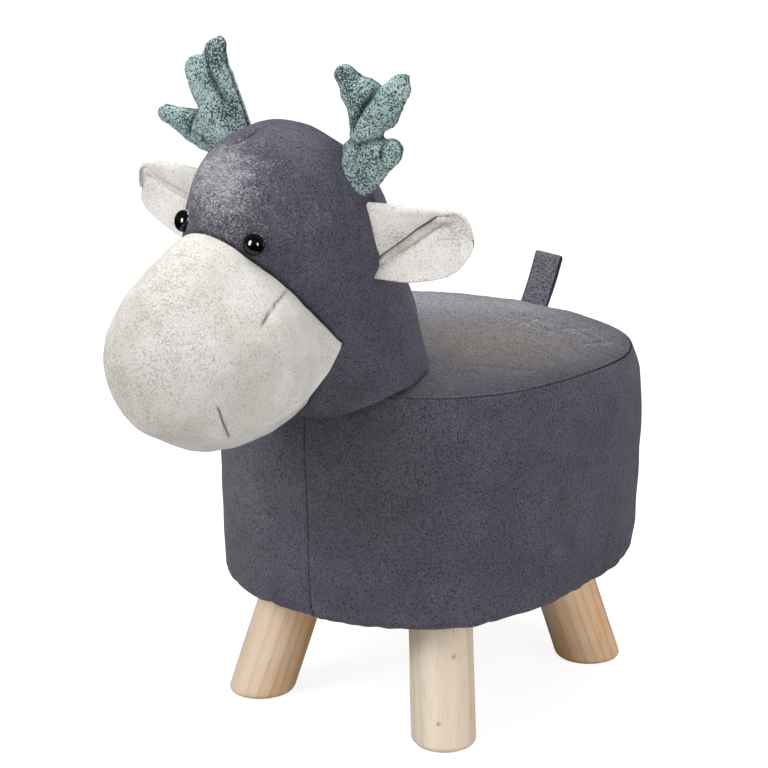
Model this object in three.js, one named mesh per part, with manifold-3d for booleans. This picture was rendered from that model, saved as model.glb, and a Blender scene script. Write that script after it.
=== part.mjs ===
// Animal footstool: an upholstered oval seat on four splayed pine legs, with a stuffed deer head.
// Millimetres, +Z up. The animal faces -Y and its left side is +X.
import * as THREE from "three";
import { mergeVertices } from "three/addons/utils/BufferGeometryUtils.js";
import Module from "manifold-3d";

const wasm = await Module();
wasm.setup();

// Seat, as upholstered
const seatWidth = 291;
const seatLength = 336;
const planPowerShare = 2.55;
const hemHeight = 103.5;
const rimHeightFront = 281.5;
const rimHeightBack = 271.5;
const crownRise = 9;
const crownPowerShare = 2.2;
const hemSag = 8.5;
const hemRoll = 9;
const hemDrawnIn = 3;
const rimDrawnIn = 5.5;
const bellyHeightShare = 0.45;
const rimPowerShare = 4;
const turnedHem = 24;

// Sheet and board stock
const coverThickness = 1.5;
const clearance = 0.3;
const sideFoamThickness = 8;
const wallThickness = 3;
const boardThickness = 12;
const rimFoamThickness = 28;
const seatBoardTop = Math.min(rimHeightFront, rimHeightBack) - rimFoamThickness;
const weldDistance = 0.001;
const cutOverrun = 2;

// Posts between the boards, and their screws
const postSide = 30;
const postBevel = 2;
const postSetIn = 40.5;
const postAlongShare = 0.134;
const postAcross = seatWidth / 2 - postSetIn;
const postAlong = seatLength * postAlongShare;
const screwLength = 40;
const screwRadius = 2;
const screwHeadRadius = 4;
const screwHeadHeight = 2.6;
const screwTip = 6;
const screwRecess = 0.5;

// Legs and the hardware that holds them
const legRadius = 23.8;
const legSideSetIn = 57.5;
const legEndSetIn = 62;
const legFootAcross = seatWidth / 2 - legSideSetIn;
const legFootAlong = seatLength / 2 - legEndSetIn;
const legSetForward = 5;
const legSplayDegrees = 18.5;
const legFootRound = 5;
const legTopChamfer = 3;
const boltRadius = 4;
const boltInLeg = 34;
const boltAboveBoard = 5;
const boltPoint = 5;
const boltPointRadius = 2;
const boltChamfer = 1;
const nutFlangeRadius = 10;
const nutFlangeThickness = 1.2;
const nutBarrelRadius = 5.4;
const nutBarrelLength = 9;

// Head: a stuffed dome that leans forward out of the neck
const crownTop = 484.5;
const domeStart = 403.5;
const neckBottom = 259.5;
const headHalfWidth = 78;
const headSeamAlong = -180;
const headCrownAlong = -191;
const headFrontDepth = 101;
const headBackDepth = 56;
const neckHalfWidth = 74;
const neckSeamAlong = -150;
const neckFrontDepth = 24;
const neckBackDepth = 110;
const domePowerShare = 1.95;
const facePowerShare = 1.45;
const faceBluntness = 18;
const throatPowerShare = 2.2;
const napePowerShare = 2;
const neckSidePowerShare = 1.4;
const neckFrontPowerShare = 0.9;
const neckBackPowerShare = 1.5;
const neckSideRise = 27;
const neckLiftPowerShare = 4;
const panelSeamAlong = -184;

// Muzzle: a padded ball sewn to the face along a pointed seam
const muzzleAlong = -281;
const muzzleHeight = 345.5;
const muzzleHalfWidth = 72;
const muzzleLength = 78;
const muzzleHalfHeight = 69;
const muzzleTiltDegrees = 34;
const muzzleSeamTop = 420.5;
const muzzleSeamCorner = 335.5;
const muzzleSeamChin = 269.5;
const muzzleSeamHalfWidth = 64;
const browPowerShare = 2.2;
const jawPowerShare = 1.05;
const cheekPowerShare = 2.7;
const bridgePowerShare = 0.5;
const muzzleRootAlong = -195;
const muzzleRootShare = 0.96;

// The antlers and eyes are sewn this much higher on the animal's right, and as much lower on its left.
const sewnOffset = 4;

// Ears: padded leaves, cupped forward, with the upper edge rolled over
const earRootSetIn = 12;
const earRoot = headHalfWidth - earRootSetIn;
const earLength = 83;
const earTip = earRoot + earLength;
const earAlong = -176;
const earMiddleHeight = 411;
const earTipHeight = 423;
const earHalfHeight = 31;
const earThickness = 6;
const earEdgeThickness = 2;
const earCup = 12;
const earRoll = 15;
const earSweep = 9;
const earRoundShare = 0.55;
const earRoundPowerShare = 2.2;
const earRollShare = 0.4;
const earRollFallShare = 0.3;

// Antlers: stuffed tines that grow from the head's side seam
const antlerAlong = -184;
const antlerSetIn = 22;
const antlerAcross = headHalfWidth - antlerSetIn;
const antlerRoot = 453.5;
const antlerReach = 60;
const antlerHeight = 82;
const antlerBeamRadius = 20;
const antlerTineRadius = 11.8;
const antlerFlatShare = 0.62;

// Eyes: domed buttons on a stem, held by a washer behind the cover
const eyeAcross = 33;
const eyeHeight = 419;
const eyeRadius = 8.2;
const eyeDomeHeight = 6.6;
const eyeStemRadius = 1.9;
const eyeStemLength = 13;
const eyeWasherRadius = 8;
const eyeWasherThickness = 1.2;
const eyeWasherDepth = 3.6;

// Tail: a folded strap
const tailAcross = -9;
const tailSetIn = 8;
const tailAlong = seatLength / 2 - tailSetIn;
const tailWidth = 25;
const tailHeight = 45;
const tailStrap = 1.8;
const tailGap = 2.4;
const tailFootGap = 0.8;
const tailLeanBackDegrees = 27;
const tailLeanSideDegrees = 4;

// Facets
const planColumns = 40;
const headColumns = 28;
const legColumns = 24;
const turnedColumns = 10;
const antlerColumns = 10;
const earColumns = 18;
const fullTurn = 2 * Math.PI;

// Colours, roughness and metalness of the stock that each piece is made of
const stock = {
  suede: [0x55535f, 0.75, 0],
  paleSuede: [0xdcd8d2, 0.8, 0],
  tealFelt: [0x6f9494, 0.9, 0],
  pine: [0xdcc09a, 0.6, 0],
  plywood: [0xcdab7c, 0.7, 0],
  hardboard: [0x7c5a3c, 0.8, 0],
  foam: [0xe9e2c4, 0.95, 0],
  wadding: [0xf2f2ee, 1, 0],
  liner: [0x26262a, 0.95, 0],
  blackPlastic: [0x0c0c0e, 0.15, 0],
  whitePlastic: [0xe4e4e0, 0.5, 0],
  zincSteel: [0xb9bcc0, 0.4, 1],
};

const footstool = new THREE.Group();

// Adds one piece of the footstool as a named mesh with a material of its own.
function addPiece(name, geometry, kind) {
  const [color, roughness, metalness] = stock[kind];
  const mesh = new THREE.Mesh(geometry, new THREE.MeshStandardMaterial({ color, roughness, metalness }));
  mesh.name = name;
  footstool.add(mesh);
  return mesh;
}

// A closed geometry, with its shared vertices merged, as a solid that can be cut and joined.
function solidFrom(geometry) {
  const bare = geometry.clone();
  bare.deleteAttribute("normal");
  bare.deleteAttribute("uv");
  const merged = mergeVertices(bare, weldDistance);
  const vertProperties = new Float32Array(merged.attributes.position.array);
  const triVerts = new Uint32Array(merged.index.array);
  return new wasm.Manifold(new wasm.Mesh({ numProp: 3, vertProperties, triVerts }));
}

// A solid as a geometry for a mesh.
function geometryFrom(solid) {
  const mesh = solid.getMesh();
  const geometry = new THREE.BufferGeometry();
  geometry.setAttribute("position", new THREE.BufferAttribute(new Float32Array(mesh.vertProperties), 3));
  geometry.setIndex(new THREE.BufferAttribute(new Uint32Array(mesh.triVerts), 1));
  geometry.computeVertexNormals();
  return geometry;
}

// Six times the volume that indexed triangles enclose; it is negative when they face inwards.
function signedVolume(points, faces) {
  let sum = 0;
  for (let i = 0; i < faces.length; i += 3) {
    const [a, b, c] = [points[faces[i]], points[faces[i + 1]], points[faces[i + 2]]];
    sum += a.dot(b.clone().cross(c));
  }
  return sum;
}

// Skins rows of points into one closed body facing out. Each row is a closed ring with as many
// points as the others. The last row joins the first when ringed, else a fan closes each end.
function loft(rows, ringed = false) {
  const columns = rows[0].length;
  const points = rows.flat();
  const faces = [];
  const spans = ringed ? rows.length : rows.length - 1;
  for (let row = 0; row < spans; row++) {
    const next = (row + 1) % rows.length;
    for (let column = 0; column < columns; column++) {
      const beside = (column + 1) % columns;
      const [a, b] = [row * columns + column, row * columns + beside];
      const [c, d] = [next * columns + column, next * columns + beside];
      faces.push(a, b, d, a, d, c);
    }
  }
  if (!ringed) {
    for (const row of [0, rows.length - 1]) {
      const middle = new THREE.Vector3();
      rows[row].forEach((point) => middle.add(point));
      points.push(middle.divideScalar(columns));
      for (let column = 0; column < columns; column++) {
        const ends = [row * columns + column, row * columns + ((column + 1) % columns)];
        if (row === 0) ends.reverse();
        faces.push(points.length - 1, ...ends);
      }
    }
  }
  if (signedVolume(points, faces) < 0) faces.reverse();
  const geometry = new THREE.BufferGeometry().setFromPoints(points);
  geometry.setIndex(faces);
  geometry.computeVertexNormals();
  return geometry;
}

// A ring of points, one for each of a number of equal angles.
function ring(columns, place) {
  return Array.from({ length: columns }, (_, column) => place((column * fullTurn) / columns));
}

// Turns a profile of [radius, height] pairs about the Z axis.
function turned(profile, columns = turnedColumns) {
  const outline = profile.map(([radius, height]) => new THREE.Vector2(radius, height));
  return new THREE.LatheGeometry(outline, columns).rotateX(Math.PI / 2);
}

function rod(radius, from, to, columns = turnedColumns) {
  return turned([[0, from], [radius, from], [radius, to], [0, to]], columns);
}

const mix = (from, to, share) => from + (to - from) * share;
const signedPower = (value, power) => Math.sign(value) * Math.abs(value) ** power;

// Seat: oval plan, rim that falls towards the back, rolled hem and crowned top

// A point of the oval plan at an angle, set in from the widest outline.
function planPoint(angle, inset, height) {
  const across = (seatWidth / 2 - inset) * signedPower(Math.cos(angle), 2 / planPowerShare);
  const along = (seatLength / 2 - inset) * signedPower(Math.sin(angle), 2 / planPowerShare);
  return new THREE.Vector3(across, along, height);
}

function rimHeight(along) {
  return mix(rimHeightFront, rimHeightBack, along / seatLength + 1 / 2);
}

// The level of the rolled hem, which hangs below the boards towards the front.
function hemLevel(along) {
  return hemHeight - hemSag * (1 / 2 - along / seatLength);
}

// How far the side is set in at a height: rolled at the hem, fullest at the belly, drawn in at the rim.
function sideInset(height, along, depth) {
  const rollTop = hemLevel(along) + hemRoll;
  if (height < rollTop) {
    const radius = hemRoll - depth;
    const drop = Math.min(rollTop - height, radius);
    return hemDrawnIn + hemRoll - Math.sqrt(radius ** 2 - drop ** 2);
  }
  const share = (height - rollTop) / (rimHeight(along) - rollTop);
  const belly = bellyHeightShare;
  if (share < belly) return depth + hemDrawnIn * ((belly - share) / belly) ** 2;
  return depth + rimDrawnIn * ((share - belly) / (1 - belly)) ** rimPowerShare;
}

// A ring on the side at a height, given as a function of the place along the seat.
function sideRing(depth, heightAt) {
  return ring(planColumns, (angle) => {
    const along = planPoint(angle, 0, 0).y;
    const height = heightAt(along);
    return planPoint(angle, sideInset(height, along, depth), height);
  });
}

const hemShares = [0, 0.35, 1];
const lowerSideShares = [0.4, 0.75, 1];
const upperSideShares = [0.5, 0.8, 1];
const crownShares = [0, 0.09, 0.25, 0.5, 0.85];

function hemRings(depth) {
  const heightAt = (share) => (along) => hemLevel(along) + mix(depth, hemRoll, share);
  return hemShares.map((share) => sideRing(depth, heightAt(share)));
}

// Rings up the side from the rolled hem to the level of the seat board's top.
function lowerSideRings(depth) {
  const heightAt = (share) => (along) => mix(hemLevel(along) + hemRoll, seatBoardTop, share);
  return lowerSideShares.map((share) => sideRing(depth, heightAt(share)));
}

// Rings up the side from the level of the seat board's top to the rim.
function upperSideRings(depth) {
  const heightAt = (share) => (along) => mix(seatBoardTop, rimHeight(along), share);
  return upperSideShares.map((share) => sideRing(depth, heightAt(share)));
}

function sideRings(depth) {
  return [...hemRings(depth), ...lowerSideRings(depth), ...upperSideRings(depth)];
}

const seamStack = coverThickness + clearance;

// A ring on the crowned top, from the rim at share 0 to the middle at share 1.
function crownRing(depth, share) {
  const rise = crownRise * (1 - (1 - share) ** crownPowerShare);
  return ring(planColumns, (angle) => {
    const point = planPoint(angle, rimDrawnIn + depth, 0).multiplyScalar(1 - share);
    point.z = rimHeight(point.y) + seamStack - depth + rise;
    return point;
  });
}

// The whole upholstered seat as one solid, its faces set in by a depth, or out where it is negative.
function seatBody(depth) {
  return loft([...sideRings(depth), ...crownShares.map((share) => crownRing(depth, share))]);
}

function flatRing(inset, height) {
  return ring(planColumns, (angle) => planPoint(angle, inset, height));
}

const underside = hemHeight + coverThickness + clearance;
const baseBoardTop = underside + boardThickness;
const wallInset = rimDrawnIn + coverThickness + sideFoamThickness;
const boardInset = wallInset + wallThickness + clearance;
const legTop = hemHeight - clearance;

// Cover band: outside up to the rim, inside back down, and turned in under the seat.
function sideBandCover() {
  const outside = [flatRing(turnedHem, hemHeight), ...sideRings(0)];
  const inside = [flatRing(turnedHem, hemHeight + coverThickness), ...sideRings(coverThickness)];
  return loft([...outside, ...inside.reverse()], true);
}

function seatTopCover() {
  const outside = crownShares.map((share) => crownRing(0, share)).reverse();
  const seamEdge = ring(planColumns, (angle) => {
    const point = planPoint(angle, rimDrawnIn, 0);
    point.z = rimHeight(point.y) + clearance;
    return point;
  });
  const inside = crownShares.map((share) => crownRing(coverThickness, share));
  return loft([...outside, seamEdge, ...inside]);
}

function seatFoam() {
  const bottom = sideRing(seamStack, () => seatBoardTop + clearance);
  const crown = crownShares.map((share) => crownRing(seamStack, share));
  return loft([bottom, ...upperSideRings(seamStack), ...crown]);
}

function sideFoam() {
  const outside = [...hemRings(seamStack), ...lowerSideRings(seamStack)];
  const inset = wallInset - clearance;
  return loft([...outside, flatRing(inset, seatBoardTop), flatRing(inset, underside)], true);
}

function sideWall() {
  const inner = wallInset + wallThickness;
  const outside = [flatRing(wallInset, underside), flatRing(wallInset, seatBoardTop)];
  return loft([...outside, flatRing(inner, seatBoardTop), flatRing(inner, underside)], true);
}

// The four corners of a pattern, with the name of each: +X is the animal's left, -Y its front.
const corners = [
  ["front_left", 1, -1],
  ["front_right", -1, -1],
  ["rear_left", 1, 1],
  ["rear_right", -1, 1],
];

// Countersunk wood screw with its head face at the origin and its point up; growth makes its hole.
function screwSolid(growth) {
  const head = screwHeadRadius + growth;
  const shank = screwRadius + growth;
  const base = growth ? -cutOverrun : 0;
  return turned([
    [0, base],
    [head, base],
    [head, growth],
    [shank, screwHeadHeight + growth],
    [shank, screwLength - screwTip],
    [0, screwLength + growth],
  ]);
}

const lowerScrewHeight = underside + screwRecess;
const upperScrewHeight = seatBoardTop - screwRecess;

// The screws that hold one post, from below and from above, grown by a clearance where asked.
function postScrews(across, along, growth = 0) {
  const lower = screwSolid(growth).translate(across, along, lowerScrewHeight);
  const upper = screwSolid(growth).rotateX(Math.PI).translate(across, along, upperScrewHeight);
  return [lower, upper];
}

const postPlaces = corners.map(([name, across, along]) => [name, across * postAcross, along * postAlong]);

function framePost(across, along) {
  const bottom = baseBoardTop + clearance;
  const height = seatBoardTop - boardThickness - clearance - bottom;
  const half = postSide / 2 - postBevel;
  const outline = new THREE.Shape();
  outline.absarc(half, half, postBevel, 0, Math.PI / 2);
  outline.absarc(-half, half, postBevel, Math.PI / 2, Math.PI);
  outline.absarc(-half, -half, postBevel, Math.PI, Math.PI * 1.5);
  outline.absarc(half, -half, postBevel, Math.PI * 1.5, fullTurn);
  const options = { depth: height, bevelEnabled: false, curveSegments: 1 };
  const block = new THREE.ExtrudeGeometry(outline, options);
  block.translate(across, along, bottom);
  const holes = postScrews(across, along, clearance);
  return geometryFrom(holes.reduce((solid, hole) => solid.subtract(solidFrom(hole)), solidFrom(block)));
}

// Legs: each foot circle stands on the floor and each top lies flat under the seat.
const splay = THREE.MathUtils.degToRad(legSplayDegrees);
const legPlaces = corners.map(([name, across, along]) => {
  const foot = new THREE.Vector2(across * legFootAcross, along * legFootAlong);
  const outward = foot.clone().normalize();
  const top = foot.clone().addScaledVector(outward, -legTop * Math.tan(splay));
  foot.y -= legSetForward;
  top.y -= legSetForward;
  return { name, foot, top, outward };
});

function board(bottom, cuts) {
  const plate = loft([flatRing(boardInset, bottom), flatRing(boardInset, bottom + boardThickness)]);
  return geometryFrom(cuts.reduce((solid, cut) => solid.subtract(solidFrom(cut)), solidFrom(plate)));
}

function baseBoard() {
  const screwHoles = postPlaces.flatMap(([, across, along]) => postScrews(across, along, clearance)[0]);
  const nutHoles = legPlaces.map(({ top }) => {
    const hole = rod(nutBarrelRadius + clearance, underside - cutOverrun, baseBoardTop + cutOverrun);
    return hole.translate(top.x, top.y, 0);
  });
  return board(underside, [...screwHoles, ...nutHoles]);
}

function seatBoard() {
  const screwHoles = postPlaces.flatMap(([, across, along]) => postScrews(across, along, clearance)[1]);
  return board(seatBoardTop - boardThickness, screwHoles);
}

function dustCover() {
  const inset = turnedHem + clearance;
  const sheet = loft([flatRing(inset, hemHeight), flatRing(inset, hemHeight + coverThickness)]);
  const holes = legPlaces.map(({ top }) =>
    rod(boltRadius + clearance, hemHeight - cutOverrun, underside + cutOverrun).translate(top.x, top.y, 0),
  );
  return geometryFrom(holes.reduce((solid, hole) => solid.subtract(solidFrom(hole)), solidFrom(sheet)));
}

const legRoundShares = [0, 0.3, 0.65, 1];

// A round pine leg cut level at both ends: its level sections are circles stretched along the splay.
function legSolid({ foot, top, outward }) {
  const sideways = new THREE.Vector2(-outward.y, outward.x);
  const stations = legRoundShares.map((share) => {
    const rise = legFootRound * share;
    return [rise, legRadius - legFootRound + Math.sqrt(legFootRound ** 2 - (legFootRound - rise) ** 2)];
  });
  stations.push([legTop - legTopChamfer, legRadius], [legTop, legRadius - legTopChamfer]);
  const rows = stations.map(([height, radius]) =>
    ring(legColumns, (angle) => {
      const middle = foot.clone().lerp(top, height / legTop);
      middle.addScaledVector(outward, (radius * Math.cos(angle)) / Math.cos(splay));
      middle.addScaledVector(sideways, radius * Math.sin(angle));
      return new THREE.Vector3(middle.x, middle.y, height);
    }),
  );
  const bore = rod(boltRadius + clearance, legTop - boltInLeg - clearance, legTop + cutOverrun);
  return geometryFrom(solidFrom(loft(rows)).subtract(solidFrom(bore.translate(top.x, top.y, 0))));
}

function legBolt({ top }) {
  const low = legTop - boltInLeg;
  const high = baseBoardTop + nutFlangeThickness + boltAboveBoard;
  const profile = [
    [0, low],
    [boltPointRadius, low],
    [boltRadius, low + boltPoint],
    [boltRadius, high - boltChamfer],
    [boltRadius - boltChamfer, high],
    [0, high],
  ];
  return turned(profile).translate(top.x, top.y, 0);
}

function teeNut({ top }) {
  const seat = baseBoardTop + clearance;
  const bore = boltRadius + clearance;
  const profile = [
    [bore, seat - nutBarrelLength],
    [nutBarrelRadius, seat - nutBarrelLength],
    [nutBarrelRadius, seat],
    [nutFlangeRadius, seat],
    [nutFlangeRadius, seat + nutFlangeThickness],
    [bore, seat + nutFlangeThickness],
    [bore, seat - nutBarrelLength],
  ];
  return turned(profile).translate(top.x, top.y, 0);
}

// Head: level sections, each a half oval to the front of the widest line and one to the back

// The section at a height: half width, place of the widest line, depth to front and back, and
// how full each half is. Above the dome's start it closes as a dome, below it swells to the neck.
function headSection(height) {
  if (height >= domeStart) {
    const share = Math.min((height - domeStart) / (crownTop - domeStart), 1);
    const size = (1 - share ** domePowerShare) ** (1 / domePowerShare);
    return {
      width: headHalfWidth * size,
      middle: mix(headSeamAlong, headCrownAlong, share ** 2),
      front: headFrontDepth * size,
      back: headBackDepth * size,
      frontPower: mix(facePowerShare, 2, share),
      backPower: napePowerShare,
    };
  }
  const share = (domeStart - height) / (domeStart - neckBottom);
  const side = share ** neckSidePowerShare;
  return {
    width: mix(headHalfWidth, neckHalfWidth, side),
    middle: mix(headSeamAlong, neckSeamAlong, side),
    front: mix(headFrontDepth, neckFrontDepth, share ** neckFrontPowerShare),
    back: mix(neckBackDepth, headBackDepth, (1 - share) ** neckBackPowerShare),
    frontPower: mix(facePowerShare, throatPowerShare, Math.min(2 * share, 1)),
    backPower: napePowerShare,
  };
}

// A share of the way across the face, eased near the middle so that the face is blunt there.
function bluntShare(across, width) {
  const blunt = (distance) => Math.hypot(distance, faceBluntness) - faceBluntness;
  return Math.min(blunt(across) / blunt(width), 1);
}

// The face's place along the seat, for a place across it and a height; depth sets the skin in.
function faceAlong(across, height, depth = 0) {
  const section = headSection(height);
  const share = bluntShare(across, Math.max(section.width - depth, weldDistance));
  const reach = Math.max(section.front - depth, 0);
  return section.middle - reach * (1 - share ** section.frontPower) ** (1 / section.frontPower);
}

// A point of the head's skin at a height and an angle; depth sets the skin in.
function headPoint(height, angle, depth) {
  const section = headSection(height);
  const width = Math.max(section.width - depth, 0);
  if (Math.sin(angle) < 0) {
    const across = width * signedPower(Math.cos(angle), 2 / section.frontPower);
    return new THREE.Vector3(across, faceAlong(across, height, depth), height);
  }
  const power = 2 / section.backPower;
  const reach = Math.max(section.back - depth, 0) * Math.sin(angle) ** power;
  return new THREE.Vector3(width * signedPower(Math.cos(angle), power), section.middle + reach, height);
}

const neckShares = [1, 0.8, 0.6, 0.4, 0.22, 0.08];
const domeShares = [0, 0.25, 0.48, 0.67, 0.82, 0.92, 0.98];

// The head as a solid with its skin set in by a depth; drop carries its flat bottom lower.
function headBody(depth, drop = 0) {
  const heights = [
    ...neckShares.map((share) => mix(domeStart, neckBottom, share)),
    ...domeShares.map((share) => mix(domeStart, crownTop, share)),
  ];
  const rows = heights.map((height) => ring(headColumns, (angle) => headPoint(height, angle, depth)));
  const top = crownTop - domeStart;
  rows.forEach((row, index) => {
    const above = Math.max(heights[index] - domeStart, 0);
    row.forEach((point) => (point.z -= (depth * above) / top));
  });
  rows.slice(0, neckShares.length).forEach((row, index) => {
    const lift = neckSideRise * neckShares[index] ** neckLiftPowerShare;
    row.forEach((point) => (point.z += lift * (point.x / neckHalfWidth) ** 2));
  });
  if (drop) rows.unshift(rows[0].map((point) => new THREE.Vector3(point.x, point.y, point.z - drop)));
  return solidFrom(loft(rows));
}

// Muzzle: rays from its middle, whose lengths pass from an egg at the nose to the seam on the face
const muzzleMiddle = new THREE.Vector3(0, muzzleAlong, muzzleHeight);
const muzzleTilt = THREE.MathUtils.degToRad(muzzleTiltDegrees);
const noseward = new THREE.Vector3(0, -Math.cos(muzzleTilt), -Math.sin(muzzleTilt));
const browward = new THREE.Vector3(0, -Math.sin(muzzleTilt), Math.cos(muzzleTilt));
const sideward = new THREE.Vector3(1, 0, 0);

// A point of the muzzle's seam: over the bridge at angle 0, a corner at each cheek at a quarter turn
// and under the chin at half a turn.
function muzzleSeam(angle) {
  const side = angle <= Math.PI ? 1 : -1;
  const turn = (side > 0 ? angle : fullTurn - angle) / (Math.PI / 2);
  const above = turn <= 1;
  const across = muzzleSeamHalfWidth * (above ? turn : 2 - turn);
  const share = above ? turn : bluntShare(across, muzzleSeamHalfWidth);
  const height = above
    ? mix(muzzleSeamTop, muzzleSeamCorner, share ** browPowerShare)
    : mix(muzzleSeamChin, muzzleSeamCorner, share ** jawPowerShare);
  return new THREE.Vector3(side * across, faceAlong(across, height), height);
}

// A point of the muzzle's skin: share 0 is the nose and share 1 is the seam.
function muzzlePoint(angle, share, depth) {
  const seam = muzzleSeam(angle).sub(muzzleMiddle);
  const reach = seam.length();
  const [ahead, up, aside] = [seam.dot(noseward), seam.dot(browward), seam.dot(sideward)];
  const opening = Math.acos(ahead / reach);
  const upShare = up / Math.hypot(up, aside);
  const eggReach = (lean) => {
    const across = Math.sin(lean) * Math.sqrt(1 - upShare ** 2);
    const square = (across / muzzleHalfWidth) ** 2 + (Math.cos(lean) / muzzleLength) ** 2;
    return 1 / Math.sqrt(square + ((Math.sin(lean) * upShare) / muzzleHalfHeight) ** 2);
  };
  const lean = opening * share;
  const power = mix(cheekPowerShare, bridgePowerShare, Math.max(upShare, 0));
  const stretch = 1 + (reach / eggReach(opening) - 1) * share ** power;
  const direction = noseward.clone().multiplyScalar(Math.cos(lean));
  direction.addScaledVector(browward, Math.sin(lean) * upShare);
  direction.addScaledVector(sideward, (Math.sin(lean) * aside) / Math.hypot(up, aside));
  return muzzleMiddle.clone().addScaledVector(direction, eggReach(lean) * stretch - depth);
}

const muzzleShares = [0.06, 0.2, 0.36, 0.52, 0.68, 0.83, 0.94, 1];

// The muzzle as a solid that runs back to a root inside the head.
function muzzleBody(depth, rootDepth = 0) {
  const rows = muzzleShares.map((share) => ring(headColumns, (angle) => muzzlePoint(angle, share, depth)));
  const root = new THREE.Vector3(0, muzzleRootAlong + rootDepth, muzzleHeight);
  const seam = rows[rows.length - 1];
  rows.push(seam.map((point) => point.clone().lerp(root, muzzleRootShare)));
  return solidFrom(loft(rows));
}

// The space in front of or behind the seam that joins the face panel to the back panel.
function seamHalf(direction) {
  const size = 2 * seatLength;
  const block = new THREE.BoxGeometry(size, size, size);
  const shift = direction * ((size + clearance) / 2);
  return solidFrom(block.translate(0, panelSeamAlong + shift, crownTop));
}

// Eyes: turned about the outward direction of the face where they sit
function eyeFrame(side) {
  const across = side * eyeAcross;
  const step = eyeRadius;
  const level = eyeHeight - side * sewnOffset;
  const place = (dx, dz) => new THREE.Vector3(across + dx, faceAlong(across + dx, level + dz), level + dz);
  const right = place(step, 0).sub(place(-step, 0));
  const up = place(0, step).sub(place(0, -step));
  const outward = right.cross(up).normalize();
  const turn = new THREE.Quaternion().setFromUnitVectors(new THREE.Vector3(0, 0, 1), outward);
  const frame = new THREE.Matrix4().makeRotationFromQuaternion(turn);
  return frame.setPosition(place(0, 0));
}

const eyeDomeShares = [0, 0.25, 0.5, 0.75];

function eyeButton() {
  const seat = clearance;
  const dome = eyeDomeShares.map((share) => {
    const angle = (share * Math.PI) / 2;
    return [eyeRadius * Math.cos(angle), seat + eyeDomeHeight * Math.sin(angle)];
  });
  const stem = [[0, -eyeStemLength], [eyeStemRadius, -eyeStemLength], [eyeStemRadius, seat]];
  return turned([...stem, ...dome, [0, seat + eyeDomeHeight]]);
}

function eyeWasher() {
  const inner = eyeStemRadius + clearance;
  const outer = eyeWasherRadius;
  const [low, high] = [-eyeWasherDepth - eyeWasherThickness, -eyeWasherDepth];
  return turned([[inner, low], [outer, low], [outer, high], [inner, high], [inner, low]]);
}

// The pocket in the wadding that leaves the stem and washer clear.
function eyePocket() {
  const low = -eyeStemLength - clearance;
  const mid = -eyeWasherDepth - eyeWasherThickness - clearance;
  const wide = eyeWasherRadius + clearance;
  const narrow = eyeStemRadius + clearance;
  return turned([[0, low], [narrow, low], [narrow, mid], [wide, mid], [wide, cutOverrun], [0, cutOverrun]]);
}

// Ear: a cupped leaf, worked out on one side of the body and mirrored for the other
function earPoint(lengthShare, aroundAngle, side) {
  const across = mix(earRoot, earTip, lengthShare);
  const past = Math.max((lengthShare - earRoundShare) / (1 - earRoundShare), 0);
  const leaf = Math.sqrt(1 - past ** earRoundPowerShare);
  const half = Math.max(earHalfHeight * leaf, earEdgeThickness);
  const climb = Math.cos(aroundAngle);
  const edge = Math.abs(climb) ** 2;
  const thick = mix(earThickness, earEdgeThickness, edge * edge) / 2;
  const rolled = Math.max(climb - earRollShare, 0) / (1 - earRollShare);
  const forward = earCup * edge * leaf + earRoll * rolled ** 2 * leaf;
  const fall = earRoll * earRollFallShare * rolled ** 2;
  const height = mix(earMiddleHeight, earTipHeight, lengthShare) + half * climb - fall * leaf;
  const along = earAlong + earSweep * lengthShare - forward + thick * Math.sin(aroundAngle);
  return new THREE.Vector3(side * across, along, height);
}

const earShares = [0, 0.2, 0.4, 0.58, 0.73, 0.85, 0.94, 0.99];

function earSolid(side) {
  const rows = earShares.map((share) => ring(earColumns, (angle) => earPoint(share, angle, side)));
  return solidFrom(loft(rows));
}

// Each bag of an antler: where it starts and ends, as shares of the antler's reach and height, and
// its end radii as shares of the beam's and the tines' radii.
const antlerBagShares = [
  { from: [0, 0], to: [0.25, 0.5], ends: [1, 1], beam: true },
  { from: [0.18, 0.48], to: [0.04, 0.86], ends: [1.4, 0.95] },
  { from: [0.32, 0.46], to: [0.57, 0.73], ends: [1.4, 1] },
  { from: [0.25, 0.2], to: [0.72, 0.26], ends: [1.2, 0.9] },
];
const roundShares = [0, 0.35, 0.7, 1];

// A quarter of a round end, from its widest point to its tip.
function roundEnd(radius, height, direction) {
  return roundShares.map((share) => {
    const angle = (share * Math.PI) / 2;
    return [share === 1 ? 0 : radius * Math.cos(angle), height + direction * radius * Math.sin(angle)];
  });
}

// A stuffed bag with round ends, flat from front to back, that tapers between two points.
function antlerBag({ from, to, ends, beam }) {
  const radius = beam ? antlerBeamRadius : antlerTineRadius;
  const place = ([across, up]) => {
    return new THREE.Vector2(antlerAcross + antlerReach * across, antlerRoot + antlerHeight * up);
  };
  const start = place(from);
  const axis = place(to).sub(start);
  const profile = [
    ...roundEnd(radius * ends[0], 0, -1).reverse(),
    ...roundEnd(radius * ends[1], axis.length(), 1),
  ];
  const bag = turned(profile, antlerColumns).scale(1, antlerFlatShare, 1);
  bag.rotateY(Math.atan2(axis.x, axis.y)).translate(start.x, antlerAlong, start.y);
  return solidFrom(bag);
}

function antlerSolid(side) {
  const whole = antlerBagShares.map(antlerBag).reduce((solid, bag) => solid.add(bag));
  const sided = side > 0 ? whole : whole.mirror([1, 0, 0]);
  return sided.translate([0, 0, -side * sewnOffset]);
}

// Tail: a strap folded over itself, its two ends together on the seat

const tailLegShares = [0, 0.25, 0.5, 0.75];
const tailBendShares = [0, 0.2, 0.4, 0.6, 0.8, 1];

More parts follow.
